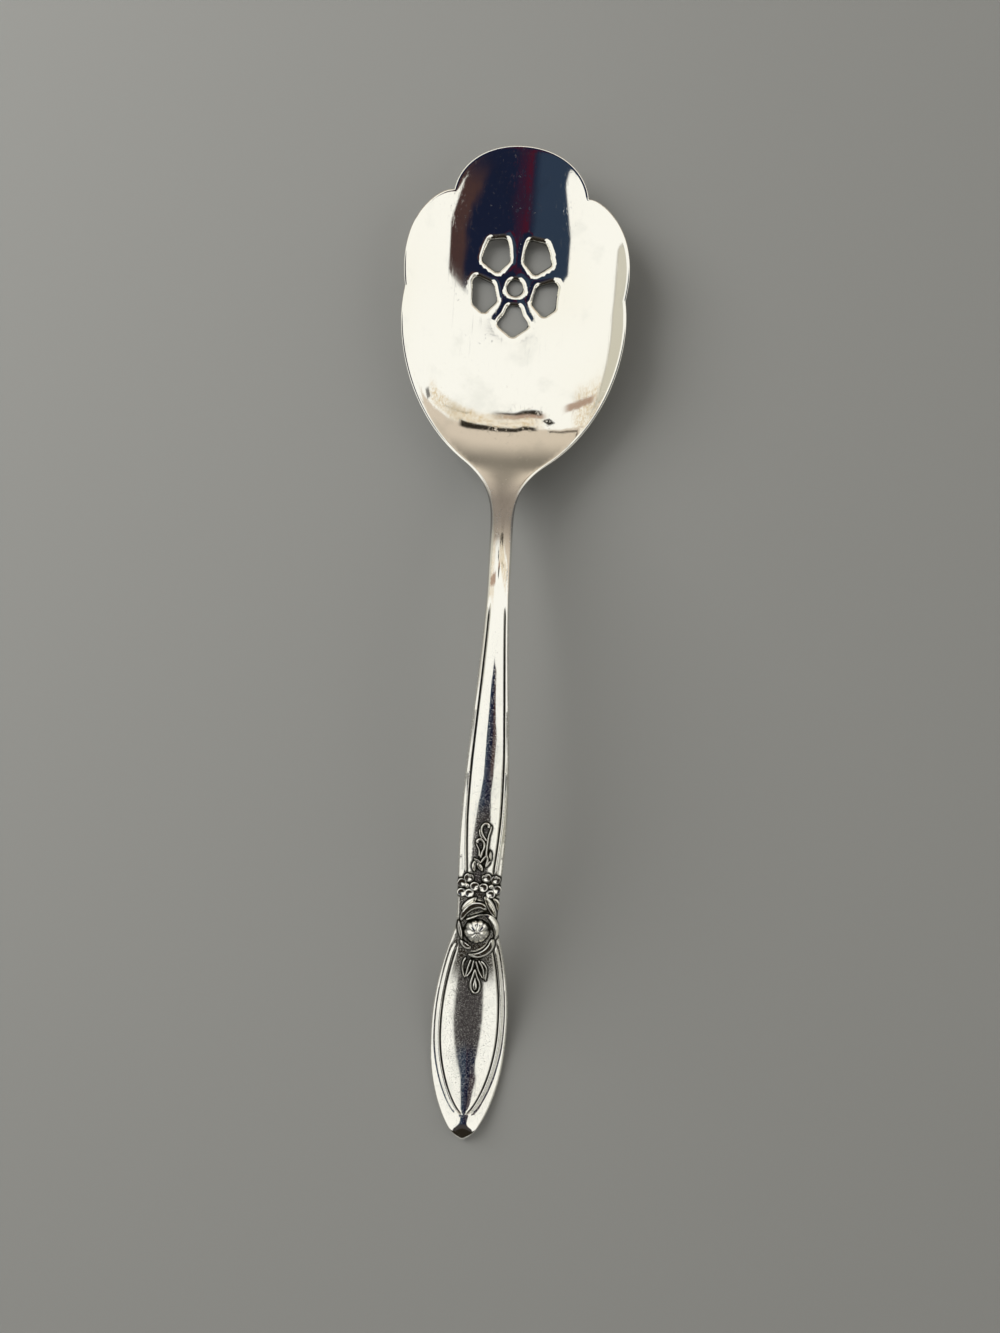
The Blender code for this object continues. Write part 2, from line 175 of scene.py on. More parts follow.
class PiercingSizes(bpy.types.PropertyGroup):
    """Sizes of the pierced flower."""

    station: length("Station", "Station of the round hole", 0.0192)
    hole_diameter: length("Hole diameter", "Diameter of the round hole", 0.0025)
    corner_radius: length("Corner radius", "Radius of a petal's corners", 0.0008)
    burnish_width: length("Burnish width", "Width of the burnished upper edge", 0.00070)
    burnish_drop: length("Burnish drop", "How far the burnished edge falls", 0.00040)


class HandleSizes(bpy.types.PropertyGroup):
    """Sizes of the neck, the stem and the handle end."""

    waist_run: length("Waist run", "Length over which the heel narrows to the neck", 0.0112)
    waist_half_width: length("Waist half width", "Half width of the neck", 0.00165)
    stem_half_width: length("Stem half width", "Half width of the stem at its widest", 0.0033)
    flare_overrun: length("Flare overrun", "How far past the stem it is widest", 0.0030)
    panel_length: length("Panel length", "Length of the panel under the flowers", 0.0170)
    panel_half_width: length("Panel half width", "Half width at the foot of that panel", 0.0030)
    shoulder_flare: share("Shoulder flare", "Slope with which the blade widens", 0.30)
    blade_half_width: length("Blade half width", "Half width of the blade", 0.0059)
    blade_run: length("Blade end run", "Length over which the blade comes to its point", 0.0177)
    blade_fullness: share("Blade fullness", "How long the blade stays wide", 2.4)
    blade_power: share("Blade point", "How blunt the blade's point is", 0.70)
    arch_run: length("Arch run", "Distance from the heel to the top of the arch", 0.0410)
    arch_height: length("Arch height", "Height of the arch over the table", CAD_HIGH.z)
    level_run: length("Level run", "Length of the level end", 0.0100)
    neck_thickness: length("Neck thickness", "Thickness of the neck", 0.0028)
    end_thickness: length("End thickness", "Thickness of the blade", 0.0025)
    neck_pitch: share("Neck pitch", "Slope of the sides of the neck's ridged upper side", 0.55)
    blade_pitch: share("Blade pitch", "Slope of the sides of the blade's ridged upper side", 0.28)
    tip_pitch: share("Tip pitch", "Slope of the sides of the ridge at the handle end", 0.32)
    neck_soft: share("Neck softness", "Roundness of the neck's upper side, in half widths", 0.45)
    stem_soft: share("Stem softness", "Roundness of the stem's ridge, in half widths", 0.14)
    blade_soft: share("Blade softness", "Roundness of the blade's ridge, in half widths", 0.35)
    tip_soft: share("Tip softness", "Roundness of the ridge at the handle end, in half widths", 0.15)
    ridge_start: length("Ridge start", "Station where the round neck turns into a ridge", 0.0640)
    flattening_start: length("Flattening start", "Station where the ridge starts to flatten", 0.0770)
    flattening_end: length("Flattening end", "Station where the ridge is flattest", 0.1050)
    sharpening_start: length("Sharpening start", "Distance from the end where it sharpens", 0.0210)
    sharpening_end: length("Sharpening end", "Distance from the end where it is sharpest", 0.0040)
    nose_run: length("Nose run", "Length of the nose that bends down at the handle end", 0.0027)
    nose_pitch: share("Nose pitch", "Slope of the nose", 0.46)
    nose_bend: length("Nose bend", "Softness of the bend in front of the nose", 0.0006)
    belly: length("Belly", "Height of the rounded underside", 0.0004)
    rest_cut: length("Rest cut", "Depth of the flats that the spoon rests on", 0.0003)
    edge_round: length("Edge rounding", "Radius of the handle's edge", 0.00042)
    groove_depth: length("Groove depth", "Depth of the border line", 0.00020)
    groove_width: length("Groove width", "Width of the border line", 0.00015)
    thread_height: length("Thread height", "Height of the thread outside the border line", 0.00010)


class ReliefSizes(bpy.types.PropertyGroup):
    """Sizes that the raised flowers share."""

    sink: length("Sink", "How deep the relief is let into the handle", 0.00018)
    shade_reach: length("Shade reach", "How far the dark ground reaches from the relief", 0.00032)


class Finishes(bpy.types.PropertyGroup):
    """Colours of the metal; the neck's darker grey is painted shade, and the oxide colour also paints
    shade on the hole walls.
    """

    silver: colour("Silver", "Polished metal", (0.95, 0.935, 0.875))
    tarnish: colour("Tarnish", "Faintly yellowed metal", (0.92, 0.895, 0.80))
    smeared: colour("Smeared", "Metal under smears", (0.80, 0.795, 0.74))
    # Painted shade: a darker grey painted into the colour of the rising neck
    neck_shade_colour: colour("Dulled", "Metal of the neck, dulled by handling", (0.40, 0.385, 0.37))
    # Oxide in the recesses, and also painted shade: the hole walls and the underside next to the holes
    # get this dark
    oxide_and_shade: colour("Oxide", "Darkened metal in the recesses", (0.022, 0.021, 0.014))


class StageLook(bpy.types.PropertyGroup):
    """Colours of the floor and of the soft studio around the spoon."""

    floor: colour("Floor", "Plain floor", (0.275, 0.275, 0.262))
    backdrop: colour("Backdrop", "What shows behind the floor", (0.62, 0.62, 0.60))
    softbox: colour("Softbox", "Light tent overhead", (1.0, 0.995, 0.955))
    hem: colour("Hem", "Golden patches of the tent's hem", (0.72, 0.58, 0.38))
    seam: colour("Seam", "Dark folds of the hem", (0.022, 0.018, 0.013))
    fold: colour("Fold", "Brown folds of the hem", (0.42, 0.29, 0.22))
    wall: colour("Wall", "Upper part of the far wall", (0.67, 0.58, 0.48))
    skirting: colour("Skirting", "Lower part of the far wall", (0.235, 0.208, 0.172))
    side: colour("Side", "Left wall", (0.63, 0.605, 0.52))
    shade: colour("Shade", "Low part of the right wall", (0.38, 0.37, 0.32))
    card: colour("Card", "Dark card beside the camera", (0.009, 0.013, 0.034))
    slate: colour("Slate", "Left part of the card", (0.026, 0.042, 0.075))
    edging: colour("Edging", "Right edge of the card", (0.070, 0.036, 0.032))
    stripe: colour("Stripe", "Thin stripe of the card", (0.060, 0.008, 0.020))
    hide: colour("Hide", "Near part of the card", (0.050, 0.045, 0.046))


def ease(first, last, value):
    """Smooth step from 0 at first to 1 at last."""
    part = np.clip((value - first) / (last - first), 0.0, 1.0)
    return part * part * (3.0 - 2.0 * part)


def hermite(station, start, end):
    """Cubic between two places, each given as station, value and slope."""
    run = end[0] - start[0]
    u = np.clip((station - start[0]) / run, 0.0, 1.0)
    from_start = (2 * u**3 - 3 * u**2 + 1) * start[1] + (u**3 - 2 * u**2 + u) * run * start[2]
    from_end = (3 * u**2 - 2 * u**3) * end[1] + (u**3 - u**2) * run * end[2]
    return from_start + from_end


def lobe_circle(start, end, bulge):
    """Centre and radius of the arc from start to end that stands out by bulge from its chord."""
    start, end = Vector(start), Vector(end)
    chord = end - start
    radius = (chord.length_squared / 4 + bulge**2) / (2 * bulge)
    outward = Vector((-chord.y, chord.x)).normalized()
    return (start + end) / 2 - outward * (radius - bulge), radius


def upper_lobe(station, first, second, swell, steepness):
    """Half width on an upper side lobe, which leaves the first notch steeply."""
    part = np.clip((station - first[0]) / (second[0] - first[0]), 0.0, 1.0)
    return first[1] + (second[1] - first[1]) * part + swell * part**steepness * (1 - part)


def lower_lobe(station, second, heel, bulge):
    """Half width on a lower side lobe."""
    centre, radius = lobe_circle(second, heel, bulge)
    return centre.y + np.sqrt(np.maximum(radius**2 - (station - centre.x) ** 2, 0.0))


def rounding(distance, radius):
    """How far a surface drops towards an edge that is rounded with the given radius."""
    inside = np.clip(radius - distance, 0.0, radius)
    return radius - np.sqrt(radius**2 - inside**2)


# Border lines: stations where they start and end, and their distance from the edge at both
STEM_BORDER_START = 0.0690
STEM_BORDER_END = 0.1080
STEM_BORDER_STATIONS = (STEM_BORDER_START, 0.0780, 0.0920, 0.1000, STEM_BORDER_END)
STEM_BORDER = (0.00058, 0.00060, 0.00072, 0.00092, 0.00130)
BLADE_BORDER_START = 0.1215
BLADE_BORDER_END = 0.1480
BLADE_BORDER = (0.00135, 0.00150)
BORDER_FADE = 0.0030
BLADE_END_FADE = BORDER_FADE / 8
THREAD_OFFSET = 0.00034
THREAD_WIDTH = 0.00024
OUTER_OFFSET = 0.00078
OUTER_LINE = 0.40


class SpoonForm:
    """The spoon's edge and its two sides, as functions of station and distance to the right."""

    def __init__(self, scene):
        self.bowl = scene.spoon_bowl
        self.handle = scene.spoon_handle
        self.waist = HEEL + self.handle.waist_run
        self.arch = HEEL + self.handle.arch_run
        self.stem_widest = STEM_END + self.handle.flare_overrun
        self.shoulder = STEM_END + self.handle.panel_length
        self.widest = LENGTH - self.handle.blade_run
        self.level = LENGTH - self.handle.level_run

    def tip_lobe(self, station):
        """Half width of the rounded lobe at the bowl tip."""
        power = self.bowl.tip_power
        run = np.clip(1 - station / self.bowl.tip_reach, 0.0, 1.0)
        return self.bowl.tip_half_width * (1 - run**power) ** (1 / power)

    def blade_end(self, station):
        """Half width of the handle end, which rounds off to a blunt point."""
        handle = self.handle
        run = np.clip((station - self.widest) / handle.blade_run, 0.0, 1.0)
        return handle.blade_half_width * (1 - run**handle.blade_fullness) ** handle.blade_power

    def half_width(self, station):
        """Half the width of the spoon in plan."""
        bowl, handle = self.bowl, self.handle
        first = (bowl.first_notch, float(self.tip_lobe(bowl.first_notch)))
        second = (bowl.second_notch, bowl.second_half_width)
        heel = (HEEL, bowl.heel_half_width)
        centre, _ = lobe_circle(second, heel, bowl.lower_bulge)
        heel_slope = (centre.x - HEEL) / (bowl.heel_half_width - centre.y)
        neck = handle.waist_half_width
        widest = (self.stem_widest, handle.stem_half_width, 0.0)
        panel = (self.shoulder, handle.panel_half_width, 0.0)
        flare = (self.shoulder, handle.panel_half_width, handle.shoulder_flare)
        upper = upper_lobe(station, first, second, bowl.upper_swell, bowl.upper_steepness)
        stretches = (
            (bowl.first_notch, self.tip_lobe(station)),
            (bowl.second_notch, upper),
            (HEEL, lower_lobe(station, second, heel, bowl.lower_bulge)),
            (self.waist, hermite(station, (*heel, heel_slope), (self.waist, neck, 0.0))),
            (self.stem_widest, hermite(station, (NECK_END, neck, 0.0), widest)),
            (self.shoulder, hermite(station, widest, panel)),
            (self.widest, hermite(station, flare, (self.widest, handle.blade_half_width, 0.0))),
            (LENGTH, self.blade_end(station)),
        )
        return np.select([station <= end for end, _ in stretches], [half for _, half in stretches])

    def dish_rise(self, station, right):
        """Height of the dish over its deepest point."""
        bowl = self.bowl
        run = station - bowl.deepest
        reach = np.where(run > 0, bowl.rear_reach, bowl.deepest)
        across = np.abs(right / bowl.side_reach) ** bowl.power
        along = np.abs(run / reach) ** bowl.power
        return bowl.depth * (across + along)

    def axis_height(self, station):
        """Height of the upper side on the axis."""
        bowl, handle = self.bowl, self.handle
        floor = bowl.sheet - handle.rest_cut
        heel_rise = float(self.dish_rise(HEEL, 0.0))
        heel = (HEEL, floor + heel_rise, bowl.power * heel_rise / (HEEL - bowl.deepest))
        crest = (self.arch, handle.arch_height, 0.0)
        end = (self.level, handle.end_thickness - handle.rest_cut, 0.0)
        stretches = (
            (HEEL, floor + self.dish_rise(station, 0.0)),
            (self.arch, hermite(station, heel, crest)),
            (self.level, hermite(station, crest, end)),
        )
        return np.select([station <= s for s, _ in stretches], [z for _, z in stretches], end[1])

    def thickness(self, station):
        """Thickness on the axis behind the heel."""
        handle = self.handle
        swell = (handle.neck_thickness - self.bowl.sheet) * ease(HEEL, self.waist, station)
        taper = (handle.end_thickness - handle.neck_thickness) * ease(self.waist, self.level, station)
        return self.bowl.sheet + swell + taper

    def crown_drop(self, station, right):
        """How far the handle's softly ridged upper side falls away from its axis."""
        handle = self.handle
        half = np.maximum(self.half_width(station), EDGE_SPACING)
        ridge = ease(handle.ridge_start, handle.flattening_start, station)
        stem = ease(handle.flattening_start, handle.flattening_end, station)
        end = ease(LENGTH - handle.sharpening_start, LENGTH - handle.sharpening_end, station)
        pitch = handle.neck_pitch + (handle.blade_pitch - handle.neck_pitch) * stem
        pitch = pitch + (handle.tip_pitch - handle.blade_pitch) * end
        soft = handle.neck_soft + (handle.stem_soft - handle.neck_soft) * ridge
        soft = soft + (handle.blade_soft - handle.stem_soft) * stem
        soft = soft + (handle.tip_soft - handle.blade_soft) * end
        return pitch * (np.sqrt(right**2 + (soft * half) ** 2) - soft * half)

    def handle_drop(self, station, right):
        """How far the upper side falls away: its ridge, which a sloping nose cuts at the handle end."""
        handle = self.handle
        crown = self.crown_drop(station, right)
        nose = handle.nose_pitch * (station - (LENGTH - handle.nose_run))
        return (crown + nose + np.hypot(crown - nose, handle.nose_pitch * handle.nose_bend)) / 2

    def top(self, station, right):
        """Height of the plain upper side: a dish in the bowl, which turns into a ridge on the handle."""
        dish = self.dish_rise(station, right) - self.dish_rise(station, 0.0)
        handle_share = ease(HEEL, self.waist, station)
        drop = handle_share * self.handle_drop(station, right)
        return self.axis_height(station) + (1 - handle_share) * dish - drop

    def bottom(self, station, right):
        """Height of the underside, which is never below the table."""
        half = np.maximum(self.half_width(station), EDGE_SPACING)
        under_bowl = self.top(station, right) - self.bowl.sheet
        under_handle = self.axis_height(station) - self.thickness(station)
        under_handle = under_handle + self.handle.belly * (right / half) ** 2
        handle_share = ease(HEEL, self.waist, station)
        return np.maximum(0.0, (1 - handle_share) * under_bowl + handle_share * under_handle)

    def panel(self, station):
        """Half width of the panel inside the border line, on the stem and on the blade."""
        half = self.half_width(station)
        stem = half - np.interp(station, STEM_BORDER_STATIONS, STEM_BORDER)
        blade = half - np.interp(station, (BLADE_BORDER_START, self.widest), BLADE_BORDER)
        run = np.clip((station - self.widest) / (BLADE_BORDER_END - self.widest), 0.0, 1.0)
        widest = self.handle.blade_half_width - BLADE_BORDER[1]
        closing = widest * (1 - run**2) ** self.handle.blade_power
        blade = np.where(station > self.widest, closing, blade)
        return np.where(station < self.shoulder, stem, blade)

    def border_share(self, station):
        """1 along the border lines and 0 elsewhere."""
        stem = ease(STEM_BORDER_START, STEM_BORDER_START + BORDER_FADE, station)
        stem = stem * (1 - ease(STEM_BORDER_END, STEM_BORDER_END + BORDER_FADE / 2, station))
        blade = ease(BLADE_BORDER_START - BORDER_FADE / 2, BLADE_BORDER_START, station)
        blade = blade * (1 - ease(BLADE_BORDER_END - BLADE_END_FADE, BLADE_BORDER_END, station))
        return stem + blade

    def border(self, station, right, to_edge):
        """Height that the border line and its thread add, and how far into the line a point is."""
        off = np.abs(right) - self.panel(station)
        here = self.border_share(station) * ease(EDGE_RINGS[-1], self.handle.edge_round, to_edge)
        line = here * np.exp(-((off / self.handle.groove_width) ** 2))
        thread = here * np.exp(-(((off - THREAD_OFFSET) / THREAD_WIDTH) ** 2))
        outer = here * OUTER_LINE * np.exp(-(((off - OUTER_OFFSET) / self.handle.groove_width) ** 2))
        height = self.handle.thread_height * thread - self.handle.groove_depth * (line + outer)
        return height, np.maximum(line, outer)

    def right_edge(self, spacing):
        """Points of the right-hand edge from the bowl tip to the handle end, with every notch kept."""
        ends = (0.0, self.bowl.first_notch, self.bowl.second_notch, HEEL, LENGTH)
        points = []
        for first, last in zip(ends, ends[1:]):
            stations = first + (last - first) * (1 - np.cos(np.linspace(0.0, pi, FINE_STEPS))) / 2
            line = np.stack([stations, self.half_width(stations)], axis=1)
            points.append(even(line, spacing)[:-1])
        return np.concatenate([*points, [(LENGTH, 0.0)]])

    def edge(self, spacing):
        """Closed edge of the spoon."""
        right = self.right_edge(spacing)
        left = right[-2:0:-1] * (1, -1)
        return np.concatenate([right, left])


def even(points, spacing):
    """Points an even distance apart along a line of points, with both ends kept."""
    points = np.asarray(points, dtype=float)
    steps = np.linalg.norm(np.diff(points, axis=0), axis=1)
    reach = np.concatenate([[0.0], np.cumsum(steps)])
    count = max(1, round(reach[-1] / spacing))
    wanted = np.linspace(0.0, reach[-1], count + 1)
    return np.stack([np.interp(wanted, reach, points[:, axis]) for axis in (0, 1)], axis=1)


def closed(points):
    """Line of points that ends where it starts."""
    return np.concatenate([points, points[:1]])


def offset(loop, distance):
    """Closed line at a distance to the right of a closed line, seen along it."""
    along = np.roll(loop, -1, axis=0) - np.roll(loop, 1, axis=0)
    along /= np.linalg.norm(along, axis=1, keepdims=True)
    return loop + distance * np.stack([along[:, 1], -along[:, 0]], axis=1)


class Distance:
    """Distance of plan points from lines of points."""

    def __init__(self, lines):
        points = np.concatenate(lines)
        self.tree = KDTree(len(points))
        for index, point in enumerate(points):
            self.tree.insert((point[0], point[1], 0.0), index)
        self.tree.balance()

    def of(self, points):
        """Distances of points from the nearest point of the lines."""
        return np.array([self.tree.find((point[0], point[1], 0.0))[2] for point in points])


def rounded(corners, radius, spacing):
    """Even points of a closed outline whose corners are arcs."""
    points = []
    count = len(corners)
    for index, corner in enumerate(corners):
        before = (corners[index - 1] - corner).normalized()
        after = (corners[(index + 1) % count] - corner).normalized()
        half_angle = before.angle(after) / 2
        centre = corner + (before + after).normalized() * radius / np.sin(half_angle)
        start = corner + before * radius / np.tan(half_angle) - centre
        end = corner + after * radius / np.tan(half_angle) - centre
        for step in range(CORNER_STEPS + 1):
            points.append(centre + start.lerp(end, step / CORNER_STEPS).normalized() * radius)
    return even(closed(np.array(points)), spacing)[:-1]


# Petals of the piercing: corners behind the round hole and to the right, in millimetres
LOWER_PETAL = ((2.75, 0.95), (4.3, 1.55), (5.8, 2.7), (7.8, 0.0))
SIDE_PETAL = (
    (-0.45, 3.4), (2.25, 2.7), (4.45, 4.7), (3.1, 6.45), (1.3, 6.5), (-0.4, 6.75), (-1.35, 6.1),
)
UPPER_PETAL = (
    (-2.0, 2.9), (-3.6, 5.5), (-5.4, 5.05), (-6.9, 4.4), (-7.35, 1.7), (-5.95, 1.3), (-4.05, 1.05),
)


def mirrored(corners):
    """The same corners on the left of the axis, from the last to the first."""
    return tuple((behind, -right) for behind, right in reversed(corners))


def piercing_loops(sizes, spacing):
    """Closed edges of the round hole and its petals, each with the metal on its right."""
    turns = np.linspace(0.0, 2 * pi, FINE_STEPS)
    radius = sizes.hole_diameter / 2
    hole = np.stack([sizes.station + radius * np.cos(turns), radius * np.sin(turns)], axis=1)
    loops = [even(hole, spacing)[:-1]]
    lower = (*LOWER_PETAL, *mirrored(LOWER_PETAL)[1:])
    for petal in (lower, SIDE_PETAL, mirrored(SIDE_PETAL), UPPER_PETAL, mirrored(UPPER_PETAL)):
        corners = [Vector((sizes.station + behind * MM, right * MM)) for behind, right in petal]
        loop = rounded(corners, sizes.corner_radius, spacing)
        after = np.roll(loop, -1, axis=0)
        turns_left = np.sum(loop[:, 0] * after[:, 1] - loop[:, 1] * after[:, 0]) > 0
        loops.append(loop if turns_left else loop[::-1])
    return loops


def lattice(form):
    """Points that fill the plan, closer together on the handle than in the bowl."""
    bowl_rows = np.arange(BOWL_SPACING, form.waist, BOWL_SPACING)
    handle_rows = np.arange(form.waist, LENGTH, HANDLE_SPACING)
    points = []
    for index, station in enumerate(np.concatenate([bowl_rows, handle_rows])):
        spacing = BOWL_SPACING if station < form.waist else HANDLE_SPACING
        half = float(form.half_width(station))
        count = 2 * int(half / spacing) + 1
        rights = (np.arange(-count, count + 1) + 0.5 * (index % 2)) * spacing
        points += [(station, right) for right in rights[np.abs(rights) < half]]
    return np.array(points)


def border_points(form):
    """Points along the border lines, several side by side."""
    stations = np.concatenate([
        np.arange(STEM_BORDER_START, STEM_BORDER_END + BORDER_FADE / 2, GROOVE_SPACING),
        np.arange(BLADE_BORDER_START - BORDER_FADE / 2, BLADE_BORDER_END, GROOVE_SPACING),
    ])
    rights = np.concatenate([form.panel(stations) + line for line in GROOVE_LINES])
    points = np.stack([np.tile(stations, len(GROOVE_LINES)), rights], axis=1)
    points = points[rights > HANDLE_SPACING / 2]
    return np.concatenate([points, points * (1, -1)])


def free_points(form, edge, holes, to_edge, to_hole):
    """Points inside the plan: rings along its edges, the border lines and the fill between them."""
    points = []
    for reach in (*EDGE_RINGS, *RIM_RINGS):
        ring = offset(edge, reach)
        if reach in RIM_RINGS:
            ring = ring[ring[:, 0] < form.waist]
        points.append(ring[to_edge.of(ring) > RING_TOLERANCE * reach])
    for reach in HOLE_RINGS:
        ring = np.concatenate([offset(hole, reach) for hole in holes])
        points.append(ring[to_hole.of(ring) > RING_TOLERANCE * reach])
    lines = border_points(form)
    points.append(lines[to_edge.of(lines) > EDGE_RINGS[-1] + EDGE_MARGIN])
    fill = lattice(form)
    off_line = np.abs(fill[:, 1]) - form.panel(fill[:, 0])
    near_line = form.border_share(fill[:, 0]) > 0
    near_line &= off_line > GROOVE_LINES[0] - GROOVE_SPACING
    near_line &= off_line < GROOVE_LINES[-1] + GROOVE_SPACING
    rim = np.where(fill[:, 0] < form.waist, RIM_RINGS[-1], EDGE_RINGS[-1])
    clear = to_edge.of(fill) > rim + HANDLE_SPACING / 2
    clear &= to_hole.of(fill) > HOLE_RINGS[-1] + BOWL_SPACING / 3
    points.append(fill[clear & ~near_line])
    points = np.concatenate(points)
    return points[~in_any(points, holes)]


def triangulated(loops, free):
    """Points and triangles between closed edges, and the edges as rows of those points."""
    links, rows, start = [], [], 0
    for loop in loops:
        row = list(range(start, start + len(loop)))
        rows.append(row)
        links += list(zip(row, row[1:] + row[:1]))
        start += len(loop)
    scaled = [Vector(point) for point in np.concatenate([*loops, free]) / MM]
    made = delaunay_2d_cdt(scaled, links, [], TRIANGLES, WELD, True)
    where = {source: index for index, sources in enumerate(made[3]) for source in sources}
    rows = [[where[index] for index in row] for row in rows]
    points = np.array(made[0]) * MM
    triangles = np.array(made[2])
    middles = points[triangles].mean(axis=1)
    edge, *holes = loops
    return points, triangles[in_any(middles, [edge]) & ~in_any(middles, holes)], rows


def plan(form, piercing):
    """Plan of the body in triangles: points, triangles, closed edges and distances to edge and holes."""
    edge = form.edge(EDGE_SPACING)
    holes = piercing_loops(piercing, HOLE_SPACING)
    to_edge = Distance([form.edge(FIELD_SPACING)])
    to_hole = Distance(piercing_loops(piercing, FIELD_SPACING))
    free = free_points(form, edge, holes, to_edge, to_hole)
    points, triangles, rows = triangulated([edge, *holes], free)
    return points, triangles, rows, to_edge.of(points), to_hole.of(points)


def in_any(points, loops):
    """Which points lie inside any of the closed outlines."""
    inside = np.zeros(len(points), dtype=bool)
    for loop in loops:
        hit = np.zeros(len(points), dtype=bool)
        for (s0, r0), (s1, r1) in zip(loop, np.roll(loop, -1, axis=0)):
            spans = (r0 > points[:, 1]) != (r1 > points[:, 1])
            cross = s0 + (points[:, 1] - r0) / (r1 - r0 if r1 != r0 else 1.0) * (s1 - s0)
            hit ^= spans & (points[:, 0] < cross)
        inside |= hit
    return inside


def world_places(stations, rights, heights):
    """World places of stations, distances to the right and heights."""
    return np.stack([rights, LENGTH / 2 - stations, heights], axis=-1)


def add_piece(name, shape, material, nodes, attributes=()):
    """Object made from a closed bmesh, which rides on the spoon and stands for CAD nodes."""
    bmesh.ops.recalc_face_normals(shape, faces=shape.faces)
    if shape.calc_volume(signed=True) < 0:
        bmesh.ops.reverse_faces(shape, faces=shape.faces)
    mesh = bpy.data.meshes.new(name)
    shape.to_mesh(mesh)
    shape.free()
    mesh.materials.append(material)
    mesh.shade_smooth()
    mesh.set_sharp_from_angle(angle=radians(SHARP_EDGE))
    piece = bpy.data.objects.new(name, mesh)
    bpy.context.scene.collection.objects.link(piece)
    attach(piece, BODY)
    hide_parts(*nodes)
    return piece


# Sockets of a Mix node for its share and colours
MIX_SHARE = 0
MIX_FIRST = 6
MIX_SECOND = 7
MIX_RESULT = 2


class Graph:
    """Adds nodes to the node tree of a material or of the world."""

    def __init__(self, tree):
        self.tree = tree

    def node(self, kind, settings=None, sockets=None, output=0):
        """New node: its settings are set first, then its sockets get values or links."""
        made = self.tree.nodes.new(kind)
        for key, value in (settings or {}).items():
            setattr(made, key, value)
        for key, value in (sockets or {}).items():
            socket = made.inputs[key]
            if isinstance(value, Value):
                self.tree.links.new(value.socket, socket)
            elif hasattr(value, "__len__") and len(value) == 3 and socket.type == "RGBA":
                socket.default_value = (*value, 1.0)
            else:
                socket.default_value = value
        return Value(self, made.outputs[output])

    def mix(self, share_of_second, first, second):
        """Blend of two colours."""
        return self.node(
            "ShaderNodeMix",
            {"data_type": "RGBA"},
            {MIX_SHARE: share_of_second, MIX_FIRST: first, MIX_SECOND: second},
            MIX_RESULT,
        )

    def step(self, value, first, last):
        """Smooth step from 0 at first to 1 at last."""
        return self.node(
            "ShaderNodeMapRange",
            {"interpolation_type": "SMOOTHSTEP"},
            {"Value": value, "From Min": first, "From Max": last},
        )

    def noise(self, place, scale, detail=2.0):
        """Cloudy noise, from 0 to 1, with so many clouds to the metre."""
        return self.node(
            "ShaderNodeTexNoise", None, {"Vector": place, "Scale": scale, "Detail": detail}
        )

    def mark(self, place, mark):
        """Mask of a mark on the metal."""
        return self.step(self.noise(place, mark.scale, mark.detail), mark.start, mark.full)


class Value:
    """A number in a node tree, with arithmetic that adds Math nodes."""

    def __init__(self, graph, socket):
        self.graph = graph
        self.socket = socket

    def math(self, operation, first, second=0.0):
        """Result of a Math node."""
        return self.graph.node("ShaderNodeMath", {"operation": operation}, {0: first, 1: second})

    def __add__(self, other):
        return self.math("ADD", self, other)

    __radd__ = __add__

    def __sub__(self, other):
        return self.math("SUBTRACT", self, other)

    def __rsub__(self, other):
        return self.math("SUBTRACT", other, self)

    def __mul__(self, other):
        return self.math("MULTIPLY", self, other)

    __rmul__ = __mul__

    def __truediv__(self, other):
        return self.math("DIVIDE", self, other)

    def __abs__(self):
        return self.math("ABSOLUTE", self)

    def at_least(self, other):
        """The larger of two values."""
        return self.math("MAXIMUM", self, other)

    def at_most(self, other):
        """The smaller of two values."""
        return self.math("MINIMUM", self, other)

    def output(self, name):
        """Another output of the node that this value comes from."""
        return Value(self.graph, self.socket.node.outputs[name])


def new_material(name):
    """Material with an empty tree but for its shader, and that shader's own sockets."""
    material = bpy.data.materials.new(name)
    material.use_nodes = True
    return material, Graph(material.node_tree), material.node_tree.nodes["Principled BSDF"]


class Mark(NamedTuple):
    """Clouds of noise that mark the metal: how fine they are, where they start and are full."""

    scale: float
    detail: float
    start: float
    full: float


TARNISH = Mark(25.0, 2.0, 0.45, 0.75)
SMEARS = Mark(170.0, 5.0, 0.52, 0.74)
PATCHES = Mark(150.0, 2.0, 0.44, 0.60)
SCRATCHES = Mark(3200.0, 1.0, 0.60, 0.72)
SLANTED_SCRATCHES = Mark(2400.0, 0.0, 0.72, 0.80)
SPECKS = Mark(2000.0, 3.0, 0.60, 0.76)
PITS = Mark(8000.0, 1.0, 0.58, 0.66)
GRAIN_SCALE = 5200.0
SCRATCH_STRETCH = (1.0, 0.05, 1.0)
SLANT_STRETCH = (1.0, 0.04, 1.0)
SLANT = (0.0, 0.0, 0.6)
SMEAR_STRENGTH = 0.65

# Zones along the spoon: where they start and are full, towards the handle end. WORN and PITTED are wear,
# which only roughens; the neck zone is painted shade, a darker grey in the colour of the rising neck.
WORN = (0.012, -0.006)
# Where the painted shade on the rising neck starts and is full, from both sides
NECK_SHADE_START = (0.0270, 0.0215)
NECK_SHADE_END = (0.0195, 0.0125)
PITTED = (-0.0740, -0.0715)

# Roughness of the polished metal, and what each mark adds to it
POLISH = 0.045
SMEAR_ROUGHNESS = 0.05
SCRATCH_ROUGHNESS = 0.10
SLANT_ROUGHNESS = 0.08
SPECK_ROUGHNESS = 0.22
WORN_ROUGHNESS = 0.02
# Roughness added where the shade of the neck is painted
NECK_SHADE_ROUGHNESS = 0.10
# Roughness added with the oxide and with the painted shade of the hole walls
OXIDE_AND_SHADE_ROUGHNESS = 0.30
BODY_PITTING = 0.40
RELIEF_PITTING = 0.0

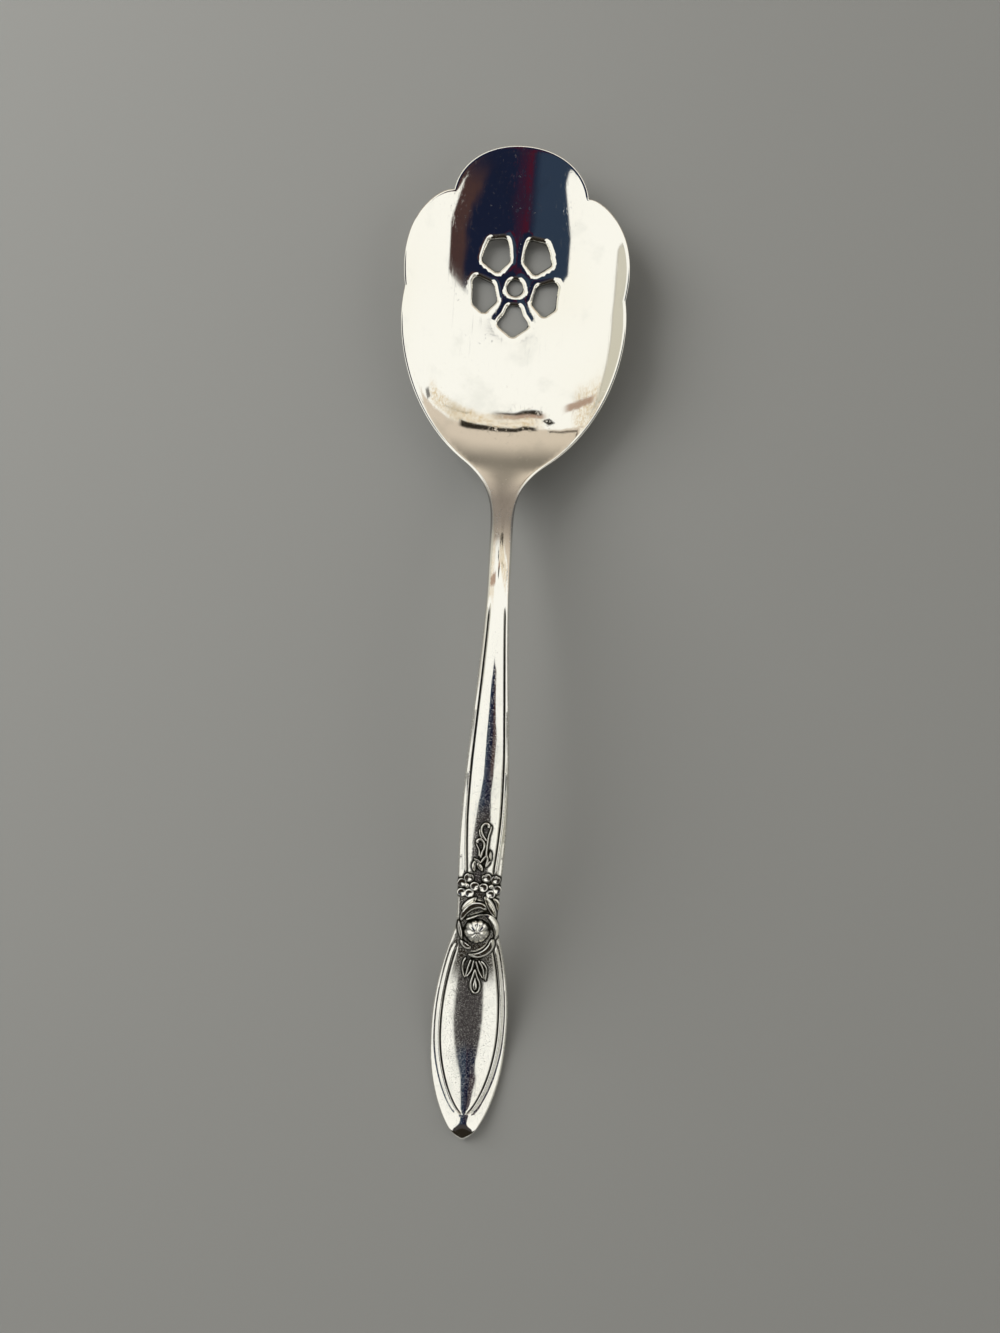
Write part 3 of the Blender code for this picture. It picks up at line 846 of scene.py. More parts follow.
# Attribute levels at which the dark of the recesses (oxide) starts and is full; on the body's hole walls
# and the underside next to the holes, that dark is painted shade
BODY_SHADE = (0.25, 0.85)
RELIEF_SHADE = (0.46, 0.20)

# Fine relief of the metal
SCRATCH_DEPTH = 0.4
SLANT_DEPTH = 0.1
GRAIN_DEPTH = 0.4
RELIEF_STRENGTH = 0.14
RELIEF_REACH = 0.000012


def silver(name, finishes, pitting, shade_attribute, shade_levels):
    """Polished metal with smears, scratches and pits, painted shade on the rising neck, and dark where
    its attribute says: oxide in the recesses, and on the body also painted shade on the hole walls.
    """
    material, graph, shader = new_material(name)
    place = graph.node("ShaderNodeTexCoord", output="Object")
    along = graph.node("ShaderNodeMapping", None, {"Vector": place, "Scale": SCRATCH_STRETCH})
    aslant = graph.node(
        "ShaderNodeMapping", None, {"Vector": place, "Rotation": SLANT, "Scale": SLANT_STRETCH}
    )
    tarnish = graph.mark(place, TARNISH)
    smear = graph.mark(place, SMEARS)
    patchy = graph.mark(place, PATCHES)
    scratch = graph.mark(along, SCRATCHES)
    slant = graph.mark(aslant, SLANTED_SCRATCHES)
    specks = graph.mark(place, SPECKS) * patchy
    towards_tip = graph.node("ShaderNodeSeparateXYZ", None, {"Vector": place}, "Y")
    worn = graph.step(towards_tip, *WORN)
    # Painted shade: mask of the rising neck, which is painted a darker grey
    neck_shade = graph.step(towards_tip, *NECK_SHADE_START) * graph.step(towards_tip, *reversed(NECK_SHADE_END))
    pits = graph.mark(place, PITS) * graph.step(towards_tip, *PITTED)
    shade = graph.node("ShaderNodeAttribute", {"attribute_name": shade_attribute}, None, "Fac")
    dark = graph.step(shade, *shade_levels)
    metal = graph.mix(tarnish, finishes.silver, finishes.tarnish)
    metal = graph.mix(smear * SMEAR_STRENGTH, metal, finishes.smeared)
    # Painted shade on the rising neck
    metal = graph.mix(neck_shade, metal, finishes.neck_shade_colour)
    # Oxide in the recesses, and on the body's hole walls painted shade
    metal = graph.mix(dark, metal, finishes.oxide_and_shade)
    rough = POLISH + smear * SMEAR_ROUGHNESS + scratch * patchy * SCRATCH_ROUGHNESS
    rough = rough + slant * SLANT_ROUGHNESS + specks * SPECK_ROUGHNESS
    rough = rough + worn * (WORN_ROUGHNESS + pits * pitting)
    rough = rough + neck_shade * NECK_SHADE_ROUGHNESS + dark * OXIDE_AND_SHADE_ROUGHNESS
    height = scratch * SCRATCH_DEPTH + slant * SLANT_DEPTH + graph.noise(place, GRAIN_SCALE) * GRAIN_DEPTH
    bump = graph.node(
        "ShaderNodeBump",
        None,
        {"Strength": RELIEF_STRENGTH, "Distance": RELIEF_REACH, "Height": height},
    )
    links = material.node_tree.links
    links.new(metal.socket, shader.inputs["Base Color"])
    links.new(rough.socket, shader.inputs["Roughness"])
    links.new(bump.socket, shader.inputs["Normal"])
    shader.inputs["Metallic"].default_value = 1.0
    return material


# Outlines of raised strips: half width along the strip, from its root at 0 to its tip at 1
OUTLINES = {
    "wire": lambda t: (1 - np.abs(2 * t - 1) ** 14) ** 0.5 * (1 - 0.25 * t),
    "curl": lambda t: (1 - np.abs(2 * t - 1) ** 14) ** 0.5 * (0.75 + 0.6 * t**6),
    "leaf": lambda t: (4 * t * (1 - t)) ** 0.75,
    "petal": lambda t: np.sin(pi * t**0.8) ** 0.55,
    "drop": lambda t: np.sin(pi * t**1.9) ** 0.62,
}

# Sections of raised strips: share of the height, from one side at -1 to the other at 1
SECTIONS = {
    "round": lambda v: (1 - v**2) ** 0.5,
    "fold": lambda v: (1 - v**4) ** 0.5 * (1 - 0.55 * np.exp(-((v / 0.16) ** 2))),
    "cup": lambda v: (1 - v**8) ** 0.5 * (0.30 + 0.70 * v**2 + 0.30 * np.exp(-((v / 0.18) ** 2))),
    "lip": lambda v: (1 - v**6) ** 0.5 * (0.80 - 0.20 * v),
}

# Narrowest share of a strip's half width, and how soon it comes to its full height
NARROWEST = 0.02
CLIMB = 1.6
CLIMB_POWER = 0.6

# Raised strips of each node: points past the stem and to the right, in millimetres, then the
# half width and height, in millimetres, and the names of the outline and section
STRIPS = {
    "upper_bud": (
        (((3.5, 0.6), (2.85, 0.1), (2.25, -0.2), (1.65, -0.3), (1.2, -0.15), (0.9, 0.2), (0.95, 0.55),
          (1.25, 0.75), (1.55, 0.6)), 0.20, 0.28, "curl", "round"),
        (((7.45, 0.65), (6.25, 0.9), (5.5, 0.65), (4.1, 0.7), (2.75, 0.8), (1.95, 1.0), (1.2, 1.1)),
         0.16, 0.23, "wire", "round"),
    ),
    "lower_bud": (
        (((6.1, -0.15), (5.3, 0.0), (4.5, 0.25), (3.9, 0.25), (3.45, 0.0), (3.25, -0.4), (3.5, -0.75),
          (3.85, -0.65)), 0.21, 0.28, "curl", "round"),
        (((6.4, 1.4), (5.8, 1.25), (4.95, 1.25)), 0.20, 0.21, "leaf", "fold"),
        (((5.8, -0.35), (5.0, -0.4), (4.4, -0.65), (3.85, -0.95)), 0.12, 0.19, "wire", "round"),
        (((3.1, -0.1), (2.65, -0.4), (1.75, -0.6)), 0.11, 0.17, "wire", "round"),
    ),
    "left_sepal": (
        (((6.85, 0.0), (6.5, -0.5), (6.15, -1.1)), 0.19, 0.28, "leaf", "round"),
        (((8.2, -0.85), (7.35, -1.05), (6.45, -0.85)), 0.28, 0.23, "leaf", "fold"),
    ),
    "right_sepal": (
        (((6.85, -0.1), (6.4, 0.15), (5.6, 0.65)), 0.18, 0.28, "leaf", "round"),
        (((6.8, -0.6), (7.5, -0.05), (8.05, 0.3)), 0.32, 0.25, "leaf", "fold"),
        (((7.5, 0.65), (6.95, 1.0), (6.4, 1.35)), 0.16, 0.23, "leaf", "round"),
    ),
    "left_leaf": (
        (((12.2, -0.3), (13.2, -1.2), (14.4, -2.35)), 0.54, 0.33, "leaf", "fold"),
    ),
    "right_leaf": (
        (((12.0, 0.8), (13.4, 1.75), (15.5, 2.75)), 0.56, 0.33, "leaf", "fold"),
    ),
    "outer_leaf": (
        (((12.3, 2.1), (13.1, 2.85), (14.4, 3.0)), 0.34, 0.28, "leaf", "fold"),
    ),
    "rose_top_petal": (
        (((14.25, 1.25), (13.55, 0.55), (13.55, -0.45), (14.2, -1.4), (15.2, -2.05), (16.3, -2.3)),
         0.56, 0.57, "petal", "lip"),
        (((15.9, -1.6), (15.45, -0.65), (15.0, 0.45), (14.9, 1.3)), 0.20, 0.51, "wire", "round"),
    ),
    "rose_right_petal": (
        (((14.85, 1.2), (15.6, 2.15), (16.7, 2.8), (18.0, 3.05), (19.2, 2.9)),
         0.50, 0.54, "leaf", "lip"),
    ),
    "rose_left_petal": (
        (((16.2, -2.65), (17.2, -2.5), (18.3, -2.25), (19.3, -2.0)), 0.34, 0.48, "leaf", "round"),
        (((20.6, -0.6), (20.25, -1.4), (19.4, -2.3)), 0.44, 0.48, "petal", "lip"),
    ),
    "rose_lower_petal": (
        (((18.9, 2.55), (20.2, 2.35), (21.2, 1.6), (21.75, 0.35), (21.7, -1.0)),
         0.60, 0.57, "petal", "lip"),
    ),
    "left_drop_leaf": (
        (((22.2, -1.2), (23.0, -1.55), (23.95, -1.65), (24.9, -1.5), (25.7, -1.2)),
         0.15, 0.19, "wire", "round"),
        (((22.5, -0.45), (24.0, -0.85), (25.6, -1.1)), 0.15, 0.19, "wire", "round"),
        (((22.6, 0.0), (24.3, -0.3), (25.5, -0.95)), 0.15, 0.19, "wire", "round"),
    ),
    "right_drop_leaf": (
        (((22.7, 0.25), (24.4, 0.8), (25.7, 1.5)), 0.15, 0.19, "wire", "round"),
        (((22.6, 0.65), (24.0, 1.4), (25.9, 1.75)), 0.15, 0.19, "wire", "round"),
        (((22.7, 1.0), (23.4, 1.65), (24.3, 2.0), (26.1, 1.95)), 0.15, 0.19, "wire", "round"),
    ),
    "centre_drop": (
        (((24.1, 0.25), (25.3, 0.0), (26.5, -0.25), (27.5, -0.15), (28.1, 0.25), (28.2, 0.6),
          (27.9, 1.0), (27.3, 1.15), (26.4, 1.05), (25.3, 0.6), (24.1, 0.25)),
         0.17, 0.21, "wire", "round"),
        (((25.4, 0.35), (26.6, 0.4), (27.7, 0.45)), 0.32, 0.19, "drop", "round"),
    ),
}

# Blossoms: the bead and the middles of the petals past the stem and to the right, in millimetres
BLOSSOMS = {
    "left_blossom": (
        (10.45, -1.8), ((10.5, -0.7), (11.65, -1.4), (11.65, -2.5), (10.1, -2.6), (9.2, -1.6)),
    ),
    "right_blossom": (
        (10.45, 1.7), ((10.65, 0.6), (9.1, 0.95), (9.4, 2.3), (11.0, 2.6), (11.7, 1.7)),
    ),
}
BEAD_RADIUS = 0.00040
BEAD_HEIGHT = 0.00055
BEAD_FOOT = 0.4
PETAL_RADIUS = 0.00070
PETAL_HEIGHT = 0.00042
PETAL_NOTCH = 0.18
NOTCH_WIDTH = 0.06
PETAL_MIDDLE = 0.40
PETAL_FACING = 0.6
PETAL_FLATNESS = 8

# Rose: its middle past the stem and to the right, in millimetres
ROSE = (17.75, 0.1)
ROSE_RADIUS = 0.00190
ROSE_HEIGHT = 0.00115
ROSE_RIBS = 9
ROSE_RIB = 0.09
ROSE_SWAY = 1.3
ROSE_FULLNESS = 2.4
ROSE_POWER = 0.6
ROSE_RIB_CLIMB = 1.5
ROSE_FOOT = 0.20
ROSE_RIB_SHADE = 0.30


def smooth_line(points, steps):
    """Even points on a smooth curve through the points of a strip."""
    points = np.asarray(points, dtype=float)
    padded = np.concatenate([[2 * points[0] - points[1]], points, [2 * points[-1] - points[-2]]])
    line = []
    for before, start, end, after in zip(padded, padded[1:], padded[2:], padded[3:]):
        for u in np.linspace(0.0, 1.0, steps, endpoint=False):
            line.append(
                0.5 * (2 * start + (end - before) * u + (2 * before - 5 * start + 4 * end - after) * u**2
                       + (3 * start - before - 3 * end + after) * u**3)
            )
    line.append(points[-1])
    line = np.array(line)
    reach = np.linalg.norm(np.diff(line, axis=0), axis=1).sum()
    return even(line, reach / steps)


class Relief:
    """Builds raised closed shapes on the handle."""

    def __init__(self, context):
        self.form = SpoonForm(context.scene)
        self.sink = context.scene.spoon_relief.sink
        self.shape = bmesh.new()
        self.lift = self.shape.verts.layers.float.new("lift")

    def vert(self, past_stem, right, height, lift):
        """Point at a height over the handle. A height of None is let into the handle."""
        station = STEM_END + past_stem
        ground = float(self.form.top(station, right))
        if height is None:
            edge = self.form.handle.edge_round
            inside = float(self.form.half_width(station)) - abs(right)
            height = -self.sink - float(rounding(max(inside, 0.0), edge))
        made = self.shape.verts.new((right, LENGTH / 2 - station, ground + height))
        made[self.lift] = lift
        return made

    def strip(self, points, half_width, height, outline, section):
        """Raised ribbon along a smooth line, pointed or rounded at its ends."""
        line = smooth_line(points, STRIP_STEPS) * MM
        along = np.gradient(line, axis=0)
        along /= np.linalg.norm(along, axis=1, keepdims=True)
        aside = np.stack([-along[:, 1], along[:, 0]], axis=1)
        widths = OUTLINES[outline](np.linspace(0.0, 1.0, len(line)))
        rise = np.minimum(1.0, widths * CLIMB) ** CLIMB_POWER
        widths = np.maximum(widths, NARROWEST) * half_width * MM
        across = np.sin(np.linspace(-pi / 2, pi / 2, STRIP_COLUMNS))
        profile = SECTIONS[section](across)
        rows = []
        for middle, side, width, climb in zip(line, aside, widths, rise):
            row = []
            for v, part in zip(across, profile):
                spot = middle + side * width * v
                level = part * climb
                over = height * MM * level if abs(v) < OUTERMOST else None
                row.append(self.vert(*spot, over, level))
            rows.append(row)
        for first, second in zip(rows, rows[1:]):
            for column in range(STRIP_COLUMNS - 1):
                self.shape.faces.new(
                    (first[column], first[column + 1], second[column + 1], second[column])
                )
            self.shape.faces.new((first[0], second[0], second[-1], first[-1]))
        self.shape.faces.new(rows[0])
        self.shape.faces.new(rows[-1][::-1])

    def boss(self, middle, radius, profile, outline=np.ones_like):
        """Raised round shape: its height depends on ring share and turn, its radius on the turn."""
        turns = np.linspace(0.0, 2 * pi, BOSS_SIDES, endpoint=False)
        rings = np.sin(np.linspace(0.0, pi / 2, BOSS_RINGS + 1))
        centre = np.array(middle) * MM
        top = self.vert(*centre, *profile(0.0, 0.0))
        loops = []
        for ring in rings[1:]:
            loop = []
            for turn in turns:
                spot = centre + radius * outline(turn) * ring * np.array((np.cos(turn), np.sin(turn)))
                height, lift = profile(ring, turn)
                loop.append(self.vert(*spot, height if ring < OUTERMOST else None, lift))
            loops.append(loop)
        for index in range(BOSS_SIDES):
            after = (index + 1) % BOSS_SIDES
            self.shape.faces.new((top, loops[0][index], loops[0][after]))
            for inner, outer in zip(loops, loops[1:]):
                self.shape.faces.new((inner[index], outer[index], outer[after], inner[after]))
        self.shape.faces.new(loops[-1])

    def finish(self, name):
        """Piece that stands for the CAD node of the same name."""
        material = bpy.data.materials.get("relief_silver")
        if material is None:
            finishes = bpy.context.scene.spoon_finishes
            material = silver("relief_silver", finishes, RELIEF_PITTING, "lift", RELIEF_SHADE)
        piece = add_piece(f"{name}_relief", self.shape, material, [name])
        piece["spoon_relief"] = True
        return piece


def raise_strips(context, names):
    """Makes the strips of the named nodes."""
    for name in names:
        relief = Relief(context)
        for points, half_width, height, outline, section in STRIPS[name]:
            relief.strip(points, half_width, height, outline, section)
        relief.finish(name)


class SPOON_OT_tendrils(bpy.types.Operator):
    """Raises the curled buds and the sepals at the top of the ornament"""

    bl_idname = "spoon.tendrils"
    bl_label = "Buds and sepals"

    def execute(self, context):
        raise_strips(context, ("upper_bud", "lower_bud", "left_sepal", "right_sepal"))
        return {"FINISHED"}


class SPOON_OT_blossoms(bpy.types.Operator):
    """Raises the two blossoms, each a bead with cupped petals around it"""

    bl_idname = "spoon.blossoms"
    bl_label = "Blossoms"

    def execute(self, context):
        def bead(ring, turn):
            """Height and lift of a bead."""
            dome = (1 - ring**2) ** 0.5
            return BEAD_HEIGHT * dome, BEAD_FOOT + (1 - BEAD_FOOT) * dome

        for name, (middle, petals) in BLOSSOMS.items():
            relief = Relief(context)
            for petal in petals:
                self.petal(relief, petal, np.subtract(petal, middle))
            relief.boss(middle, BEAD_RADIUS, bead)
            relief.finish(name)
        return {"FINISHED"}

    def petal(self, relief, middle, outward):
        """Petal that is cupped towards the bead and notched at its outer end."""
        outward_turn = np.arctan2(outward[1], outward[0])

        def cupped(ring, turn):
            """Height and lift of the petal, which is highest at its outer rim."""
            facing = PETAL_FACING + (1 - PETAL_FACING) * np.cos(turn - outward_turn)
            rim = PETAL_MIDDLE + (1 - PETAL_MIDDLE) * ring**2 * facing
            rim = (1 - ring**PETAL_FLATNESS) ** 0.5 * rim
            return PETAL_HEIGHT * rim, rim

        def notched(turn):
            """Share of the radius in a direction."""
            return 1 - PETAL_NOTCH * np.exp((np.cos(turn - outward_turn) - 1) / NOTCH_WIDTH)

        relief.boss(middle, PETAL_RADIUS, cupped, notched)


class SPOON_OT_leaves(bpy.types.Operator):
    """Raises the leaves between the blossoms and the rose, and the leaf drop under it"""

    bl_idname = "spoon.leaves"
    bl_label = "Leaves and drop"

    def execute(self, context):
        raise_strips(context, ("left_leaf", "right_leaf", "outer_leaf"))
        raise_strips(context, ("left_drop_leaf", "right_drop_leaf", "centre_drop"))
        return {"FINISHED"}


class SPOON_OT_rose(bpy.types.Operator):
    """Raises the round bud of the rose and the petals wrapped around it"""

    bl_idname = "spoon.rose"
    bl_label = "Rose"

    def execute(self, context):
        def bud(ring, turn):
            """Height and lift of the bud, with swaying ribs."""
            dome = (1 - ring**ROSE_FULLNESS) ** ROSE_POWER
            rib = np.cos(ROSE_RIBS * turn + ROSE_SWAY * np.sin(2 * turn))
            rib = min(1.0, ROSE_RIB_CLIMB * ring) * rib
            lift = ROSE_FOOT + (1 - ROSE_FOOT) * dome
            lift = lift * (1 - ROSE_RIB_SHADE + ROSE_RIB_SHADE * rib)
            return ROSE_HEIGHT * dome * (1 + ROSE_RIB * rib), lift

        raise_strips(
            context, ("rose_top_petal", "rose_right_petal", "rose_left_petal", "rose_lower_petal")
        )
        relief = Relief(context)
        relief.boss(ROSE, ROSE_RADIUS, bud)
        relief.finish("rose")
        return {"FINISHED"}


class SPOON_OT_body(bpy.types.Operator):
    """Forms the struck body: the pierced bowl, the neck, the stem and the handle end"""

    bl_idname = "spoon.body"
    bl_label = "Struck body"

    def execute(self, context):
        scene = context.scene
        form = SpoonForm(scene)
        points, triangles, loops, to_edge, to_hole = plan(form, scene.spoon_piercing)
        stations, rights = points.T
        border, line = form.border(stations, rights, to_edge)
        handle_share = ease(HEEL, form.waist, stations)
        edge_round = scene.spoon_bowl.rim_round * (1 - handle_share)
        edge_round = edge_round + scene.spoon_handle.edge_round * handle_share
        top = form.top(stations, rights)
        bottom = form.bottom(stations, rights)
        edge_round = np.minimum(edge_round, THICKEST_ROUND * (top - bottom))
        piercing = scene.spoon_piercing
        burnish = np.clip(1 - to_hole / piercing.burnish_width, 0.0, 1.0) ** 2 * piercing.burnish_drop
        top = top + border - rounding(to_edge, edge_round) - burnish
        bottom = bottom + rounding(to_edge, edge_round) + burnish / 4
        places = np.concatenate([
            world_places(stations, rights, top), world_places(stations, rights, bottom)
        ])
        count = len(points)
        shape = bmesh.new()
        # The attribute holds the oxide of the grooves and of the ground next to the relief, and on the
        # underside the painted shade of the hole walls
        oxide_and_hole_shade = shape.verts.layers.float.new("oxide_and_hole_shade")
        shade = np.maximum(line, self.relief_shade(scene, stations, rights))
        # Painted shade: the hole walls and the underside next to the holes are darkened
        hole_wall_shade = np.exp(-((to_hole / HOLE_WALL_SHADE_REACH) ** 2))
        for place, dark in zip(places, np.concatenate([shade, hole_wall_shade])):
            vert = shape.verts.new(place)
            vert[oxide_and_hole_shade] = dark
        shape.verts.ensure_lookup_table()
        for a, b, c in triangles:
            shape.faces.new([shape.verts[index] for index in (a, b, c)])
            shape.faces.new([shape.verts[index + count] for index in (a, c, b)])
        for loop in loops:
            for first, second in zip(loop, loop[1:] + loop[:1]):
                corners = (first, second, second + count, first + count)
                shape.faces.new([shape.verts[index] for index in corners])
        material = silver("body_silver", scene.spoon_finishes, BODY_PITTING, "oxide_and_hole_shade", BODY_SHADE)
        add_piece(
            "spoon_body", shape, material, ["bowl", "neck", "stem", "handle_end"]
        )
        return {"FINISHED"}

    def relief_shade(self, scene, stations, rights):
        """How dark the ground is next to the relief."""
        feet = [
            (LENGTH / 2 - vert.co.y, vert.co.x)
            for piece in scene.objects if piece.get("spoon_relief")
            for vert in piece.data.vertices
        ]
        if not feet:
            raise RuntimeError("the relief has to be raised before the body is formed")
        near = Distance([np.array(feet)]).of(np.stack([stations, rights], axis=1))
        return np.exp(-((near / scene.spoon_relief.shade_reach) ** 2))


# Camera, as the photograph was taken: nearly straight down, a hand's breadth over the spoon
CAMERA_PLACE = (-0.00324, -0.00406, 0.15669)
CAMERA_TURN = (0.00852, -0.02988, 0.06260)
PICTURE_HEIGHT = 1333
FOCAL_PIXELS = 1000
SENSOR = 36.0

# Stage
FLOOR_SIZE = 6.0
FLOOR_DROP = 0.00003
FLOOR_ROUGHNESS = 0.9
FLOOR_GLOSS = 0.1
KEY_PLACE = (-0.35, 0.20, 0.25)
KEY_SIZE = 0.34
KEY_POWER = 1.8

# Flat map of the sky, with the zenith at 0: across to the right and ahead past the bowl tip. The
# reach keeps the place under the floor on the map. A pair holds where a change starts and is full.
SKY_REACH = 1.02
WAVE_SCALE = 6.0
RIPPLE_SCALE = 60.0
HORIZON = (0.08, 0.04)

# Hem of the tent: how far ahead it is, how it curves to the right, steps at the left and waves
HEM_AHEAD = 0.52
HEM_CURVE = 0.30
HEM_STEP = 0.015
HEM_STEP_ACROSS = (0.01, -0.02)
HEM_WAVE = 0.03
HEM_EDGE = (-0.006, 0.006)
SKIRTING_TOP = (0.07, 0.25)

# Left wall: how far left it is, how it leans, and where it starts
SIDE_ACROSS = -0.685
SIDE_LEAN = 0.8
SIDE_LEAN_AHEAD = 0.25
SIDE_START = (0.15, 0.08)
SIDE_START_SHIFT = 0.4
SIDE_EDGE = (-0.012, 0.012)
SIDE_SEAM = (0.016, 0.004)
SIDE_SEAM_STRENGTH = 0.35

# Low part of the right wall
SHADE_ACROSS = (0.42, 0.56)
SHADE_AHEAD = (-0.05, -0.20)

# Dark card: its edges at the zenith, how they lean towards the near side, and its colours' places
CARD_RIGHT = 0.395
CARD_LEFT = 0.235
CARD_FAR = 0.172
CARD_RIGHT_LEAN = 0.62
CARD_LEFT_LEAN = 0.36
CARD_LEAN_END = -0.28
CARD_NEAR = (-0.18, -0.32)
CARD_RIGHT_NEAR = 0.02
CARD_LEFT_NEAR = 0.07
CARD_FAR_PEAK = 0.17
CARD_FAR_LEAN = 0.1
CARD_SIDE_EDGE = (-0.008, 0.008)
CARD_FAR_EDGE = (-0.004, 0.004)
SLATE_ACROSS = (0.004, -0.03)
STRIPE = (-0.002, 0.009, 0.004)
EDGING_ACROSS = (0.23, 0.30)
EDGING_AHEAD = (-0.30, -0.14)
EDGING_WAVE = 0.10
EDGING_PLAIN = 0.5
EDGING_RIPPLE = 0.8
HIDE_AHEAD = (-0.30, -0.38)

# Dark strip in front of the near wall
FOOT_ACROSS = (0.55, 0.45)
FOOT_AHEAD = (-0.55, -0.59)


class Patch(NamedTuple):
    """Golden patch of the hem: its span across, and the levels where it fades in and out."""

    span: tuple
    fade_in: tuple
    fade_out: tuple = None


# Patches by kind: how strong they are between the ripples, where the ripples start and are full
HEM_PATCHES = (
    (0.40, (0.45, 0.62), (Patch((-0.10, 0.30, 0.05), (-0.105, -0.075), (0.01, -0.01)),)),
    (0.15, (0.46, 0.58), (
        Patch((0.12, 0.50, 0.04), (-0.11, -0.09), (0.0, -0.03)),
        Patch((-0.62, -0.36, 0.05), (-0.22, -0.14)),
    )),
)


class Fold(NamedTuple):
    """Fold of the hem: its level and half height, its span across and how strongly it shows.

    The level can rise with the distance to the left or right, and the height can grow across it.
    """

    level: float
    half: float
    span: tuple
    strength: float = 1.0
    left_rise: float = 0.0
    right_rise: float = 0.0
    growth: float = 0.0
    taper: tuple = None


BROWN_FOLDS = (
    Fold(-0.080, 0.016, (-0.12, 0.02, 0.03), 0.95),
    Fold(-0.100, 0.018, (-0.54, -0.28, 0.04), 0.95, left_rise=0.04),
)
DARK_FOLDS = (
    Fold(0.0, 0.0140, (-0.075, 0.215, 0.02), growth=0.040),
    Fold(-0.096, 0.012, (-0.105, 0.04, 0.012), taper=(0.06, -0.04)),
    Fold(0.010, 0.007, (-0.43, -0.15, 0.01), 0.8, left_rise=-0.03),
    Fold(-0.098, 0.004, (0.15, 0.36, 0.03), 0.5, right_rise=0.12),
)
FOLD_EDGE = (1.3, 0.7)
THINNEST_FOLD = 0.001


class Knot(NamedTuple):
    """Small dark knot of the hem: its place, its half sizes, its soft edge and how strongly it shows."""

    across: float
    level: float
    half_width: float
    half_height: float
    edge: tuple
    strength: float = 1.0
    left_rise: float = 0.0


KNOTS = (
    Knot(-0.152, -0.062, 0.045, 0.02, (1.2, 0.8), left_rise=-0.1),
    Knot(0.524, -0.03, 0.03, 0.03, (1.2, 0.7), 0.8),
)


